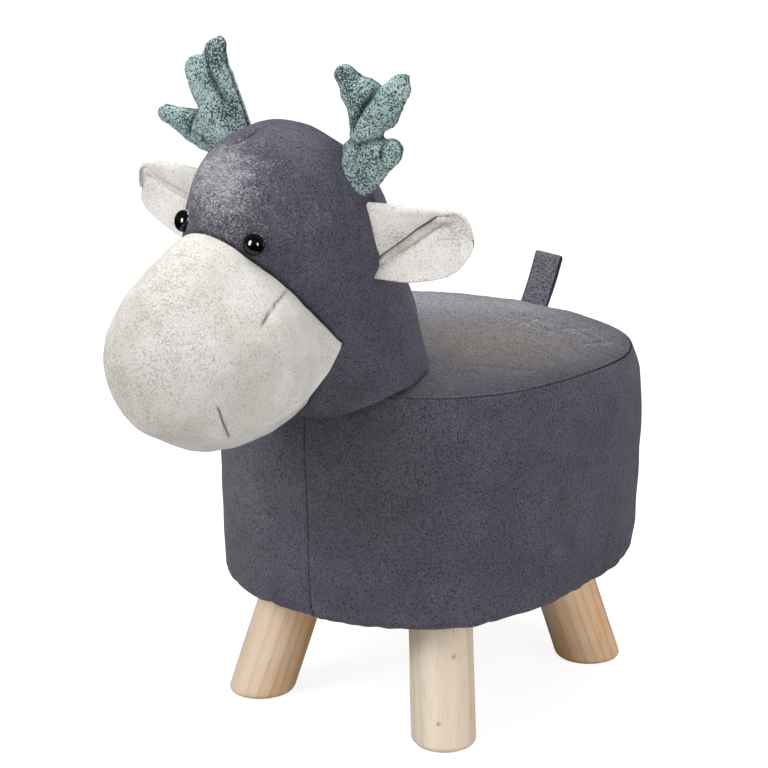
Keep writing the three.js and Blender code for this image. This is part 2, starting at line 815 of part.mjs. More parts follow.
// One face of the folded strap in its own plane, up one leg, round the top and down the other.
function strapFace(offset) {
  const fold = (tailStrap + tailGap) / 2;
  const foot = (tailStrap + tailFootGap) / 2;
  const shoulder = tailHeight - fold - tailStrap / 2;
  const leg = tailLegShares.map((share) => {
    const spread = mix(foot, fold, Math.sin((share * Math.PI) / 2));
    return new THREE.Vector2(spread + offset, shoulder * share);
  });
  const bend = tailBendShares.map((share) => {
    const reach = fold + offset;
    const angle = share * Math.PI;
    return new THREE.Vector2(reach * Math.cos(angle), shoulder + reach * Math.sin(angle));
  });
  const otherLeg = leg.map(({ x, y }) => new THREE.Vector2(-x, y)).reverse();
  return [...leg, ...bend, ...otherLeg];
}

function tailLoop() {
  const outline = [...strapFace(tailStrap / 2), ...strapFace(-tailStrap / 2).reverse()];
  const options = { depth: tailWidth, bevelEnabled: false };
  const strap = new THREE.ExtrudeGeometry(new THREE.Shape(outline), options);
  strap.translate(0, 0, -tailWidth / 2);
  strap.rotateX(Math.PI / 2).rotateZ(Math.PI / 2);
  strap.rotateX(-THREE.MathUtils.degToRad(tailLeanBackDegrees));
  strap.rotateY(THREE.MathUtils.degToRad(tailLeanSideDegrees));
  strap.translate(tailAcross, tailAlong, rimHeight(tailAlong));
  return geometryFrom(solidFrom(strap).subtract(solidFrom(seatBody(-clearance))));
}

// Upholstered seat
addPiece("seat_top_cover", seatTopCover(), "suede");
addPiece("side_band_cover", sideBandCover(), "suede");
addPiece("dust_cover", dustCover(), "liner");
addPiece("seat_foam", seatFoam(), "foam");
addPiece("side_foam", sideFoam(), "foam");
addPiece("tail_loop", tailLoop(), "suede");

// Seat frame
addPiece("side_wall", sideWall(), "hardboard");
addPiece("base_board", baseBoard(), "plywood");
addPiece("seat_board", seatBoard(), "plywood");
for (const [name, across, along] of postPlaces) {
  const [lower, upper] = postScrews(across, along);
  addPiece("frame_post_" + name, framePost(across, along), "pine");
  addPiece("lower_screw_" + name, lower, "zincSteel");
  addPiece("upper_screw_" + name, upper, "zincSteel");
}

// Legs
for (const place of legPlaces) {
  addPiece("leg_" + place.name, legSolid(place), "pine");
  addPiece("leg_bolt_" + place.name, legBolt(place), "zincSteel");
  addPiece("tee_nut_" + place.name, teeNut(place), "zincSteel");
}

// Head: covers are shells round the wadding, cut where the seat, the muzzle and the eyes meet them
const seatOutside = solidFrom(seatBody(-clearance));
const headOutside = headBody(0);
const headInside = headBody(coverThickness, cutOverrun);
const muzzleOutside = muzzleBody(0);
const muzzleInside = muzzleBody(coverThickness, cutOverrun);
const eyes = [
  ["left", eyeFrame(1)],
  ["right", eyeFrame(-1)],
];
const eyeHoles = eyes.map(([, frame]) => {
  const hole = rod(eyeStemRadius + clearance, -eyeStemLength, eyeRadius);
  return solidFrom(hole.applyMatrix4(frame));
});
const eyePockets = eyes.map(([, frame]) => solidFrom(eyePocket().applyMatrix4(frame)));

const headShell = headOutside.subtract(headInside).subtract(seatOutside).subtract(muzzleBody(-clearance));
const muzzleShell = muzzleOutside.subtract(muzzleInside).subtract(headBody(clearance));
const facePanel = eyeHoles.reduce((panel, hole) => panel.subtract(hole), headShell.intersect(seamHalf(-1)));
addPiece("head_face_cover", geometryFrom(facePanel), "suede");
addPiece("head_back_cover", geometryFrom(headShell.intersect(seamHalf(1))), "suede");
addPiece("muzzle_cover", geometryFrom(muzzleShell), "paleSuede");

const waddingDepth = coverThickness + clearance;
const wadding = eyePockets.reduce(
  (mass, pocket) => mass.subtract(pocket),
  headBody(waddingDepth).add(muzzleBody(waddingDepth)).subtract(seatOutside),
);
addPiece("head_filling", geometryFrom(wadding), "wadding");

for (const [name, frame] of eyes) {
  addPiece("eye_" + name, eyeButton().applyMatrix4(frame), "blackPlastic");
  addPiece("eye_washer_" + name, eyeWasher().applyMatrix4(frame), "whitePlastic");
}

const headClearance = headBody(-clearance);
for (const [name, side] of [["left", 1], ["right", -1]]) {
  addPiece("ear_" + name, geometryFrom(earSolid(side).subtract(headClearance)), "paleSuede");
  addPiece("antler_" + name, geometryFrom(antlerSolid(side).subtract(headClearance)), "tealFelt");
}

// The part's origin lies on the floor under the middle of its box.
const box = new THREE.Box3().setFromObject(footstool);
const middle = box.getCenter(new THREE.Vector3());
footstool.position.set(-middle.x, -middle.y, -box.min.z);

export default footstool;
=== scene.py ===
# Animal footstool: sewn covers, stuffed head, ears and antlers, pine legs and the studio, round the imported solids.
# Shapes are worked out in millimetres from the seat's middle at floor level; the animal faces -Y
# and its left is +X. Angles are in radians. Patterns are random only by their seeds.
import math

import bmesh
import bpy
import numpy as np
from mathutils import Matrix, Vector


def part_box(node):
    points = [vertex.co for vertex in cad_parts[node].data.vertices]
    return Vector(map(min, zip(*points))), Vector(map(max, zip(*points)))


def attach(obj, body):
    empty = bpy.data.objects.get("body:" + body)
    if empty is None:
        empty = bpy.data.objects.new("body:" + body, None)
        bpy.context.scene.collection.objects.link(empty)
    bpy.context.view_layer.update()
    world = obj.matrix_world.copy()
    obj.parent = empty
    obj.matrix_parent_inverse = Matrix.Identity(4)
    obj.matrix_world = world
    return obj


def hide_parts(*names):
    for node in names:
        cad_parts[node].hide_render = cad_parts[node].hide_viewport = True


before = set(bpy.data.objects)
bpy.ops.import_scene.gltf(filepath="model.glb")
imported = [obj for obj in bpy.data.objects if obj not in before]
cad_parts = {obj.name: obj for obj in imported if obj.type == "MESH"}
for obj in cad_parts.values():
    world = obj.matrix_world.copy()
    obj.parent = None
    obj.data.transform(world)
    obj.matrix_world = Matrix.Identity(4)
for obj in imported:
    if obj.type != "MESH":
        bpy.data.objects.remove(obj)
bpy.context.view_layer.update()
scene = bpy.context.scene

band_low, band_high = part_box("side_band_cover")
SEAT_MIDDLE = np.array([0, (band_low.y + band_high.y) / 2, 0])


def to_frame(points):
    """Millimetres from the seat's middle, as metres in the part's frame."""
    return np.asarray(points) / 1000 + SEAT_MIDDLE


# Shapes shared by the pieces

def mix(start, end, share):
    return start + (end - start) * share


def signed_power(value, power):
    return np.sign(value) * np.abs(value) ** power


def bell(distance, width):
    """1 at no distance, falling off as a bell curve of that width."""
    return np.exp(-((distance / width) ** 2))


def wave(distance, pitch, drift=0):
    """From 1 to -1 and back for each pitch along a distance, moved on by the drift."""
    return np.cos(2 * math.pi * distance / pitch + drift)


def ease(value, low, high):
    """0 below low, 1 above high, and an even curve between."""
    share = np.clip((value - low) / (high - low), 0, 1)
    return share * share * (3 - 2 * share)


def ripple(points, size, seed):
    """Soft unevenness from about -1 to 1: the sum of twelve sine waves near one size that cross in mixed directions."""
    dice = np.random.default_rng(seed)
    directions = dice.normal(size=(12, 3))
    lengths = size * dice.uniform(0.7, 1.5, (12, 1))
    directions *= 2 * math.pi / (lengths * np.linalg.norm(directions, axis=1, keepdims=True))
    return np.sin(points @ directions.T + dice.uniform(0, 2 * math.pi, 12)).sum(-1) / 3.5


def line_distance(points, path, normals=None):
    """Distance from each point to a line of straight runs, and the share of the line's length at the nearest place.
    With normals, a short distance is taken along the surface: what lifts it off the line's own plane is left out."""
    path = np.asarray(path, float)
    runs = np.diff(path, axis=0)
    lengths = np.linalg.norm(runs, axis=1)
    offset = points[..., None, :] - path[:-1]
    share = np.clip((offset * runs).sum(-1) / lengths**2, 0, 1)
    offset -= share[..., None] * runs
    nearest = np.linalg.norm(offset, axis=-1).argmin(-1)
    part = np.take_along_axis(share, nearest[..., None], -1)[..., 0]
    offset = np.take_along_axis(offset, nearest[..., None, None], -2)[..., 0, :]
    gap = np.linalg.norm(offset, axis=-1)
    if normals is not None:
        run = (runs / lengths[:, None])[nearest]
        sideways = np.cross(run, normals)
        sideways /= np.linalg.norm(sideways, axis=-1, keepdims=True) + 1e-9
        beside = np.hypot((offset * sideways).sum(-1), (offset * run).sum(-1))
        gap = np.where(gap < 15, beside, gap)
    before = np.concatenate([[0], np.cumsum(lengths)])[nearest]
    return gap, (before + part * lengths[nearest]) / lengths.sum()


def crease(points, path, width, taper=0.25, normals=None):
    """1 on a line, falling off beside it as a bell curve and fading towards both of its ends."""
    gap, along = line_distance(points, path, normals)
    return bell(gap, width) * np.clip(np.minimum(along, 1 - along) / max(taper, 1e-6), 0, 1)


def patch(points, middle, size):
    """1 at a place, falling off round it as a bell curve."""
    return bell(np.linalg.norm(points - np.asarray(middle, float), axis=-1), size)


def patches(points, places):
    """The sum of soft patches, each given as a strength, a middle and a size."""
    return sum(strength * patch(points, middle, size) for strength, middle, size in places)


def both_sides(path):
    """A line given for the animal's left, and its mirror image on the right."""
    return np.array(path, float), np.array(path, float) * [-1, 1, 1]


def outward(rings):
    """Unit normals of a closed grid of points, from the runs to its neighbours, turned away from the grid's middle."""
    around = np.roll(rings, -1, 1) - np.roll(rings, 1, 1)
    normal = np.cross(around, np.gradient(rings, axis=0))
    normal /= np.linalg.norm(normal, axis=-1, keepdims=True) + 1e-9
    away = ((rings - rings.reshape(-1, 3).mean(0)) * normal).sum()
    return normal * (1 if away >= 0 else -1)


def add_marks(mesh, marks):
    """Stores each mark, one number or one vector a point, as an attribute that the materials read."""
    for mark, values in marks.items():
        kind, field = ("FLOAT_VECTOR", "vector") if np.ndim(values) > 1 else ("FLOAT", "value")
        mesh.attributes.new(mark, kind, "POINT").data.foreach_set(field, np.ravel(values).astype(np.float32))


def make_piece(name, points, faces, replaced, marks=None):
    """Puts points in millimetres and faces into a mesh, with its normals outward, and ties it to the body."""
    mesh = bpy.data.meshes.new(name)
    mesh.from_pydata(to_frame(points).tolist(), [], faces)
    shell = bmesh.new()
    shell.from_mesh(mesh)
    bmesh.ops.recalc_face_normals(shell, faces=shell.faces)
    shell.to_mesh(mesh)
    shell.free()
    mesh.shade_smooth()
    add_marks(mesh, marks or {})
    piece = bpy.data.objects.new(name, mesh)
    scene.collection.objects.link(piece)
    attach(piece, "root")
    if replaced:
        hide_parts(*replaced)
    return piece


def quads(rows, columns):
    """The faces of a closed grid: four corners each, between one row of points and the next."""
    row, column = np.meshgrid(np.arange(rows - 1), np.arange(columns), indexing="ij")
    low, high, beside = row * columns, (row + 1) * columns, (column + 1) % columns
    return np.stack([low + column, low + beside, high + beside, high + column], -1).reshape(-1, 4)


def skin(name, rings, replaced, marks=None, ends=True):
    """One surface from rows of points: quads join each row to the next, and a fan closes each end row on its middle."""
    rows, columns = rings.shape[:2]
    faces = quads(rows, columns).tolist()
    points = rings.reshape(-1, 3)
    marks = {mark: values.reshape(points.shape[0], -1).squeeze() for mark, values in (marks or {}).items()}
    if ends:
        for end in (0, rows - 1):
            here = np.arange(columns) + end * columns
            faces += np.stack([here, np.roll(here, -1), np.full(columns, len(points))], -1).tolist()
            points = np.concatenate([points, rings[end].mean(0)[None]])
            marks = {mark: np.concatenate([values, values[end * columns][None]]) for mark, values in marks.items()}
    return make_piece(name, points, faces, replaced, marks)


# Seat: oval plan, rim that falls to the back, rolled hem, crowned top

SEAT_WIDTH, SEAT_LENGTH, PLAN_POWER = 291, 336, 2.55
# The hem hangs lower at the front by its sag. IN is how far inside the plan an edge is drawn.
HEM_HEIGHT, HEM_SAG, HEM_ROLL, HEM_IN, TURNED_HEM = 103.5, 5.5, 9, 3, 24
RIM_FRONT, RIM_BACK, RIM_IN, RIM_POWER = 281.5, 268, 5, 4.5
BELLY_SHARE, FLANK_FULLNESS, SETTLED_DROP = 0.45, 2.8, 3.5
CROWN_RISE, CROWN_POWER, SEAM_STACK, EDGE_ROUND = 11.5, 3.2, 1.8, 4.5
# Distances from one to the next of what repeats in the sewing
PUCKER_PITCH, GATHER_PITCH, PLEAT_PITCH = 6.3, 27, 12
FRONT_STITCH, RIM_HOLE, RIM_STITCH = 3.6, 4.5, 4.2


def plan(angle, inset):
    """The oval seen from above: an oval whose sides are fuller than an ellipse's, drawn in by an inset."""
    across = (SEAT_WIDTH / 2 - inset) * signed_power(np.cos(angle), 2 / PLAN_POWER)
    along = (SEAT_LENGTH / 2 - inset) * signed_power(np.sin(angle), 2 / PLAN_POWER)
    return across, along


def oval_lengths(focus=0):
    """Angles round the oval and the length round it to each. By the focus, runs near the front seam count as longer."""
    angle = np.linspace(-math.pi, math.pi, 8001)
    place = np.stack(plan(angle, 0), -1)
    step = np.linalg.norm(np.diff(place, axis=0), axis=1)
    middle = (place[1:] + place[:-1]) / 2
    step = step * (1 + focus * bell(middle[:, 0], 7) * (middle[:, 1] < 0))
    return angle, np.concatenate([[0], np.cumsum(step)])


def even_angles(columns, focus=0):
    """Angles whose places on the oval are evenly spaced, and closer by the focus at the front seam."""
    angle, length = oval_lengths(focus)
    return np.interp(np.arange(columns) / columns * length[-1], length, angle)


def outline_length(angle):
    """Millimetres round the oval to each angle."""
    return np.interp(angle, *oval_lengths())


def rim_height(along):
    return mix(RIM_FRONT, RIM_BACK, along / SEAT_LENGTH + 0.5)


def hem_level(along):
    return HEM_HEIGHT - HEM_SAG * (0.5 - along / SEAT_LENGTH)


def oval_share(across, along, inset):
    """0 at the seat's middle and 1 on the oval drawn in by the inset."""
    side, end = np.abs(across) / (SEAT_WIDTH / 2 - inset), np.abs(along) / (SEAT_LENGTH / 2 - inset)
    return (side**PLAN_POWER + end**PLAN_POWER) ** (1 / PLAN_POWER)


def crown_height(across, along):
    """The crowned top: highest in the middle, falling to the rim as a power of the way out."""
    share = np.clip(oval_share(across, along, RIM_IN), 0, 1)
    return rim_height(along) + SEAM_STACK + CROWN_RISE * (1 - share**CROWN_POWER)


def settled(points):
    """The upper part of the seat a few millimetres lower at the back on the animal's left and higher on its right."""
    across, along, height = np.moveaxis(points, -1, 0)
    drop = SETTLED_DROP * across / 145 * ease(along, -60, 120) * ease(height, 170, 262)
    return points - drop[..., None] * np.array([0, 0, 1])


def seat_gap(points):
    """About how far each point is outside the upholstered seat, less than 0 inside it."""
    across, along, height = np.moveaxis(points, -1, 0)
    radius = np.hypot(across, along)
    share = oval_share(across, along, RIM_IN)
    side = (share - 1) * radius / np.maximum(share, 0.2)
    top = height - crown_height(across, along)
    return np.where(top <= 0, side, np.where(side <= 0, top, np.hypot(side, top)))


EDGE_MIDDLE_RISE = SEAM_STACK + 0.55 - EDGE_ROUND
FRONT_SEAM_LEVELS = [96, 113, 162, 209, 248, 262, 290]
FRONT_SEAM_ACROSS = [4.5, 2.9, 2.2, 1.0, -0.3, -0.6, -0.6]
BAND_RUBS = [
    (0.33, (109, -123, 257), 15), (0.2, (119, -106, 253), 13), (0.2, (140, -40, 200), 60), (0.12, (60, -150, 180), 80),
]
FAR = 99  # stands for a gap too wide to matter


def edge_rows(turns, depths, along):
    """Rows of the rounded edge between side and top: each at a turn from level to upright and a depth in from it."""
    rise = rim_height(along) + EDGE_MIDDLE_RISE
    rows = []
    for turn, depth in zip(turns, depths):
        reach = EDGE_ROUND - depth
        rows.append((RIM_IN + EDGE_ROUND - reach * math.cos(turn), rise + reach * math.sin(turn)))
    return rows


def puckers(rings, reach, gap, fade):
    """Small gathers beside the rim seam: waves along the oval that drift a little and fade with the gap to the seam."""
    return wave(reach, PUCKER_PITCH, 1.6 * ripple(rings, 30, 3)) * np.exp(-np.abs(gap) / fade)


def side_band():
    """The band: turned in under the seat, rolled at the hem, full at the belly, drawn in to the rim and its seam."""
    angle = even_angles(620, focus=5)
    along = plan(angle, 0)[1]
    hem, level = hem_level(along), rim_height(along) + EDGE_MIDDLE_RISE
    rows = []
    for share in np.linspace(0, 1, 6)[:-1]:
        rows.append((mix(TURNED_HEM, HEM_IN + HEM_ROLL, share), mix(HEM_HEIGHT, hem, share)))
    for turn in np.linspace(0, math.pi / 2, 11):
        rows.append((HEM_IN + HEM_ROLL * (1 - math.sin(turn)), hem + HEM_ROLL * (1 - math.cos(turn))))
    for share in np.linspace(0, 1, 80)[1:]:
        low = HEM_IN * max(BELLY_SHARE - share, 0) ** 2 / BELLY_SHARE**2
        high = RIM_IN * (max(share - BELLY_SHARE, 0) / (1 - BELLY_SHARE)) ** RIM_POWER
        rows.append((low + high, mix(hem + HEM_ROLL, level, share)))
    turns = np.radians([8, 16, 24, 31, 37, 41, 42, 42.5, 43])
    rows += edge_rows(turns, [0, 0, 0, 0, 0.1, 0.5, 1.2, 2, 3], along)
    inset = np.array([np.broadcast_to(row[0], along.shape) for row in rows])
    height = np.array([np.broadcast_to(row[1], along.shape) for row in rows])
    across, place = plan(angle[None, :], inset)
    rings = np.stack([across, place, height], -1)

    below_rim, above_hem = rim_height(along) - height, height - hem
    reach = outline_length(angle)[None, :]
    gathers = wave(reach, GATHER_PITCH, 5 * ripple(rings, 80, 4)) * ripple(rings, 50, 14)
    seam_gap = np.where(place < 0, np.abs(across - np.interp(height, FRONT_SEAM_LEVELS, FRONT_SEAM_ACROSS)), FAR)
    seam = bell(seam_gap, 0.6)
    # Gathers at the rim and hem, the slack of the cloth, the fuller rear flank, and the seam sunk between raised lips
    relief = 0.25 * puckers(rings, reach, below_rim, 5) + 0.6 * gathers * np.exp(-above_hem / 10)
    relief += 0.8 * ripple(rings, 95, 5) + 0.25 * ripple(rings, 28, 6)
    relief += FLANK_FULLNESS * ease(place, -60, 90) * ease(below_rim, -5, 22) * ease(above_hem, -15, 25)
    relief += 0.5 * bell(seam_gap - 3.2, 2) - 0.8 * seam - 0.5 * bell(seam_gap, 6) * bell(above_hem, 25)
    relief *= ease(inset, TURNED_HEM, TURNED_HEM - 8) * ease(below_rim, -1.2, 2)
    rings = rings + outward(rings) * relief[..., None]

    stitch = 0.5 + 0.5 * wave(height, FRONT_STITCH)
    holes = 0.5 + 0.5 * wave(reach, RIM_HOLE)
    rim_line = ease(-below_rim, -0.4, 0.6) * mix(0.2 + 0.7 * holes, 0.7, ease(place, 0, 90))
    marks = {
        "crease": np.maximum(seam * (0.35 + 0.4 * stitch), rim_line),
        "wear_and_painted_light": patches(rings, BAND_RUBS),
        # Painted highlight on the front of the band's right flank, which faces the key light; a faint painted sheen all
        # round
        "painted_sheen": 0.02 + 0.16 * patch(rings, (-70, -160, 190), 55),
    }
    return skin("seat_side_band", settled(rings), ["side_band_cover", "side_foam"], marks)


# Each wrinkle of the top: its line seen from above, its width and its depth, which also sets its painted shade and
# highlight.
TOP_WRINKLES = [
    ([(35, 46), (39, 78), (45, 108)], 2.6, 1.3),
    ([(24, 84), (34, 104), (52, 119)], 2.4, 1.2),
    ([(60, 60), (74, 88), (80, 116)], 3, 1.1),
    ([(97, 46), (104, 76), (108, 108)], 3.2, 1.2),
    ([(104, -126), (86, -108), (64, -88)], 2.2, 1.5),
    ([(-14, 120), (8, 132), (36, 138)], 3, 0.9),
    ([(-62, 84), (-36, 108), (-20, 132)], 3.4, 0.9),
    ([(72, -70), (96, -58), (118, -40)], 4, 0.8),
    ([(-96, -60), (-78, -20), (-70, 20)], 4.5, 0.9),
    ([(-110, 20), (-96, 60), (-84, 96)], 3.5, 1.1),
    ([(84, 6), (104, -5), (126, -16)], 3, 1.1),
]
# Patches of painted sheen on the top, largest at the back on the animal's right: strength, middle and size
TOP_PAINTED_SHEEN = [(1.1, (-62, 96, 0), 70), (0.22, (90, 70, 0), 70), (0.5, (0, 140, 0), 36), (0.35, (30, 90, 0), 60)]


def seat_top():
    """The cushion: up out of the seam, over the rounded edge, and in over the crown to the middle."""
    angle = even_angles(500)
    along = plan(angle, 0)[1]
    turns = np.radians([46, 46.5, 47, 48, 52, 58, 65, 73, 82])
    start = edge_rows(turns, [3, 2, 1.2, 0.5, 0.1, 0, 0, 0, 0], along)
    inset = np.array([row[0] for row in start])[:, None] + np.zeros_like(along)
    height = np.array([row[1] for row in start])
    edge = np.stack([*plan(angle[None, :], inset), height], -1)
    shares = 1 - np.linspace(0, 1, 105)[1:-1] ** 0.9
    across, place = plan(angle, RIM_IN + EDGE_ROUND * (1 - math.cos(turns[-1])))
    across, place = shares[:, None] * across, shares[:, None] * place
    crown = np.stack([across, place, crown_height(across, place)], -1)
    rings = np.concatenate([edge, crown])

    share = oval_share(rings[..., 0], rings[..., 1], RIM_IN)
    inward = (1 - share) * 150
    reach = outline_length(angle)[None, :]
    flat = rings * [1, 1, 0]
    relief = 0.3 * puckers(rings, reach, inward, 6) + 0.7 * ripple(rings, 60, 7) + 0.18 * ripple(rings, 16, 8)
    # Painted shade along each wrinkle's low line and painted highlight on the raised cloth beside it, as well as the
    # relief
    valley_shade, crest_highlight = 0 * share, 0 * share
    for path, width, depth in TOP_WRINKLES:
        path = np.array([(*spot, 0) for spot in path])
        line = crease(flat, path, width, 0.4)
        beside = crease(flat, path + [1.6 * width, -0.6 * width, 0], width, 0.4)
        relief += 0.8 * depth * beside - 1.4 * depth * line
        valley_shade, crest_highlight = np.maximum(valley_shade, 0.22 * depth * line), np.maximum(crest_highlight, 0.3 * depth * beside)
    # Pleats at the back: relief, with painted shade in their troughs and painted highlight on their ridges
    pleats = wave(rings[..., 1] + 0.08 * rings[..., 0], PLEAT_PITCH, 1.8 * ripple(rings, 45, 9))
    pleats = pleats * patch(rings * [0.8, 1, 0], (66, 84, 0), 46)
    relief += 0.8 * pleats - 1.2 * patch(rings, (0, 40, 290), 90)
    relief *= ease(inward, -0.5, 5)
    rings = rings + outward(rings) * relief[..., None]

    flat = rings * [1, 1, 0]
    # Painted shade: darker where the top turns down to the rim on the animal's left, in the wrinkles' low lines and in
    # the  pleats' troughs; the dark line at the very rim is the seam
    shade = 0.4 * ease(share, 0.8, 1) * ease(rings[..., 0], 50, 125)
    dark = np.maximum(0.7 * ease(share, 1.0, 1.006), np.maximum(shade, valley_shade + 0.18 * np.maximum(-pleats, 0)))
    # Painted sheen: pale patches on the top, painted highlight on the wrinkles and the pleats' ridges, and a painted
    # highlight line just inside the rim at the front
    painted_sheen = patches(flat, TOP_PAINTED_SHEEN) + crest_highlight + 0.3 * np.maximum(pleats, 0)
    painted_sheen += 0.4 * bell(inward - 1.2, 1.4) * ease(rings[..., 1], 40, -60)
    tan = patch(rings * [1, 0.8, 0], (62, 6, 0), 60) + 0.45 * patch(flat, (-20, 10, 0), 70)
    marks = {"crease": dark, "wear_and_painted_light": 0.15 * patch(flat, (20, 60, 0), 70), "tan": tan, "painted_sheen": painted_sheen}
    return skin("seat_cushion", settled(rings), ["seat_top_cover", "seat_foam"], marks)


# Head: level sections, each a half oval to the front of the widest line and one to the back

# Heights, then half widths, depths to the front and back of the widest line, and where that line is
CROWN_TOP, DOME_START, NECK_BOTTOM = 484.5, 403.5, 259.5
HALF_WIDTH, NECK_HALF_WIDTH = 78, 74
FACE_DEPTH, THROAT_DEPTH, CROWN_DEPTH, NAPE_DEPTH = 101, 24, 56, 110
WIDEST_LINE, CROWN_LINE, NECK_LINE = -180, -191, -150
NECK_RISE, NECK_TUCK, FACE_BLUNT = 27, 3.6, 18
PANEL_SEAM, PANEL_SEAM_FOOT = -180, 395
CROWN_DART = [(-3.8, -209.8, 483), (-6, -222, 479), (-9.5, -237, 473)]
JAW_LINE = [(76, -163, 368), (76.5, -180, 362), (74, -194, 356), (67, -206, 343)]
# Where the nap is pale, from wear and partly a painted sheen where the light grazes the forehead: strength, middle and
# size
HEAD_RUBS_AND_SHEEN = [
    (0.45, (-24, -250, 464), 24), (0.36, (4, -258, 455), 26), (0.42, (-48, -238, 440), 36), (0.3, (0, -276, 428), 34),
    (0.2, (62, -227, 424), 16), (0.3, (0, -215, 480), 30), (0.3, (36, -255, 440), 50),
]
CHEEK, BRIDGE_TOP, CORNER_LEVEL, CHIN_LEVEL = 64, 420.5, 335.5, 269.5
EYES = {"eye_left": (33, 415), "eye_right": (-33, 423)}
EYE_RADIUS, EYE_DOME = 7.8, 6.4


def head_section(height):
    """Half width, place of the widest line, front and back depths and fullness of each half, at each height."""
    up = np.clip((height - DOME_START) / (CROWN_TOP - DOME_START), 0, 1)
    size = (1 - up**1.95) ** (1 / 1.95)
    down = np.clip((DOME_START - height) / (DOME_START - NECK_BOTTOM), 0, 1)
    side = down**1.4
    dome = height >= DOME_START
    width = np.where(dome, HALF_WIDTH * size, mix(HALF_WIDTH, NECK_HALF_WIDTH, side))
    middle = np.where(dome, mix(WIDEST_LINE, CROWN_LINE, up**2), mix(WIDEST_LINE, NECK_LINE, side))
    front = np.where(dome, FACE_DEPTH * size, mix(FACE_DEPTH, THROAT_DEPTH, down**0.9))
    back = np.where(dome, CROWN_DEPTH * size, mix(NAPE_DEPTH, CROWN_DEPTH, (1 - down) ** 1.5))
    fullness = np.where(dome, mix(1.45, 2, up), mix(1.45, 2.2, np.minimum(2 * down, 1)))
    return width, middle, front, back, fullness


def blunt_share(across, width):
    """The share of the way across the face, eased near the middle so that the face is blunt there."""
    share = (np.hypot(across, FACE_BLUNT) - FACE_BLUNT) / (np.hypot(width, FACE_BLUNT) - FACE_BLUNT + 1e-6)
    return np.minimum(share, 1)


def face_along(across, height):
    """Where the face is, along the seat: the widest line less the front depth of a full oval."""
    width, middle, front, _, fullness = head_section(height)
    share = blunt_share(np.abs(across), width)
    return middle - front * np.maximum(1 - share**fullness, 0) ** (1 / fullness)


def seam_levels(across):
    """Heights of the muzzle's seam over and under a place this far across; they meet at the cheek's corner."""
    brow = mix(BRIDGE_TOP, CORNER_LEVEL, np.clip(np.abs(across) / CHEEK, 0, 1) ** 2.2)
    jaw = mix(CHIN_LEVEL, CORNER_LEVEL, blunt_share(np.abs(across), CHEEK) ** 1.05)
    return brow, jaw


def muzzle_seam(angle):
    """The muzzle's seam on the face: the bridge at 0, a corner at each cheek at a quarter turn, the chin at a half."""
    side = np.where(angle <= math.pi, 1, -1)
    turn = np.where(side > 0, angle, 2 * math.pi - angle) / (math.pi / 2)
    across = CHEEK * np.where(turn <= 1, turn, 2 - turn)
    brow, jaw = seam_levels(across)
    height = np.where(turn <= 1, brow, jaw)
    return np.stack([side * across, face_along(across, height), height], -1)


def brow_hollow(points):
    """How far each side of the forehead is pressed in beside the muzzle's bridge."""
    return 6 * (patch(points, (50, -246, 434), 34) + patch(points, (-50, -246, 434), 34))


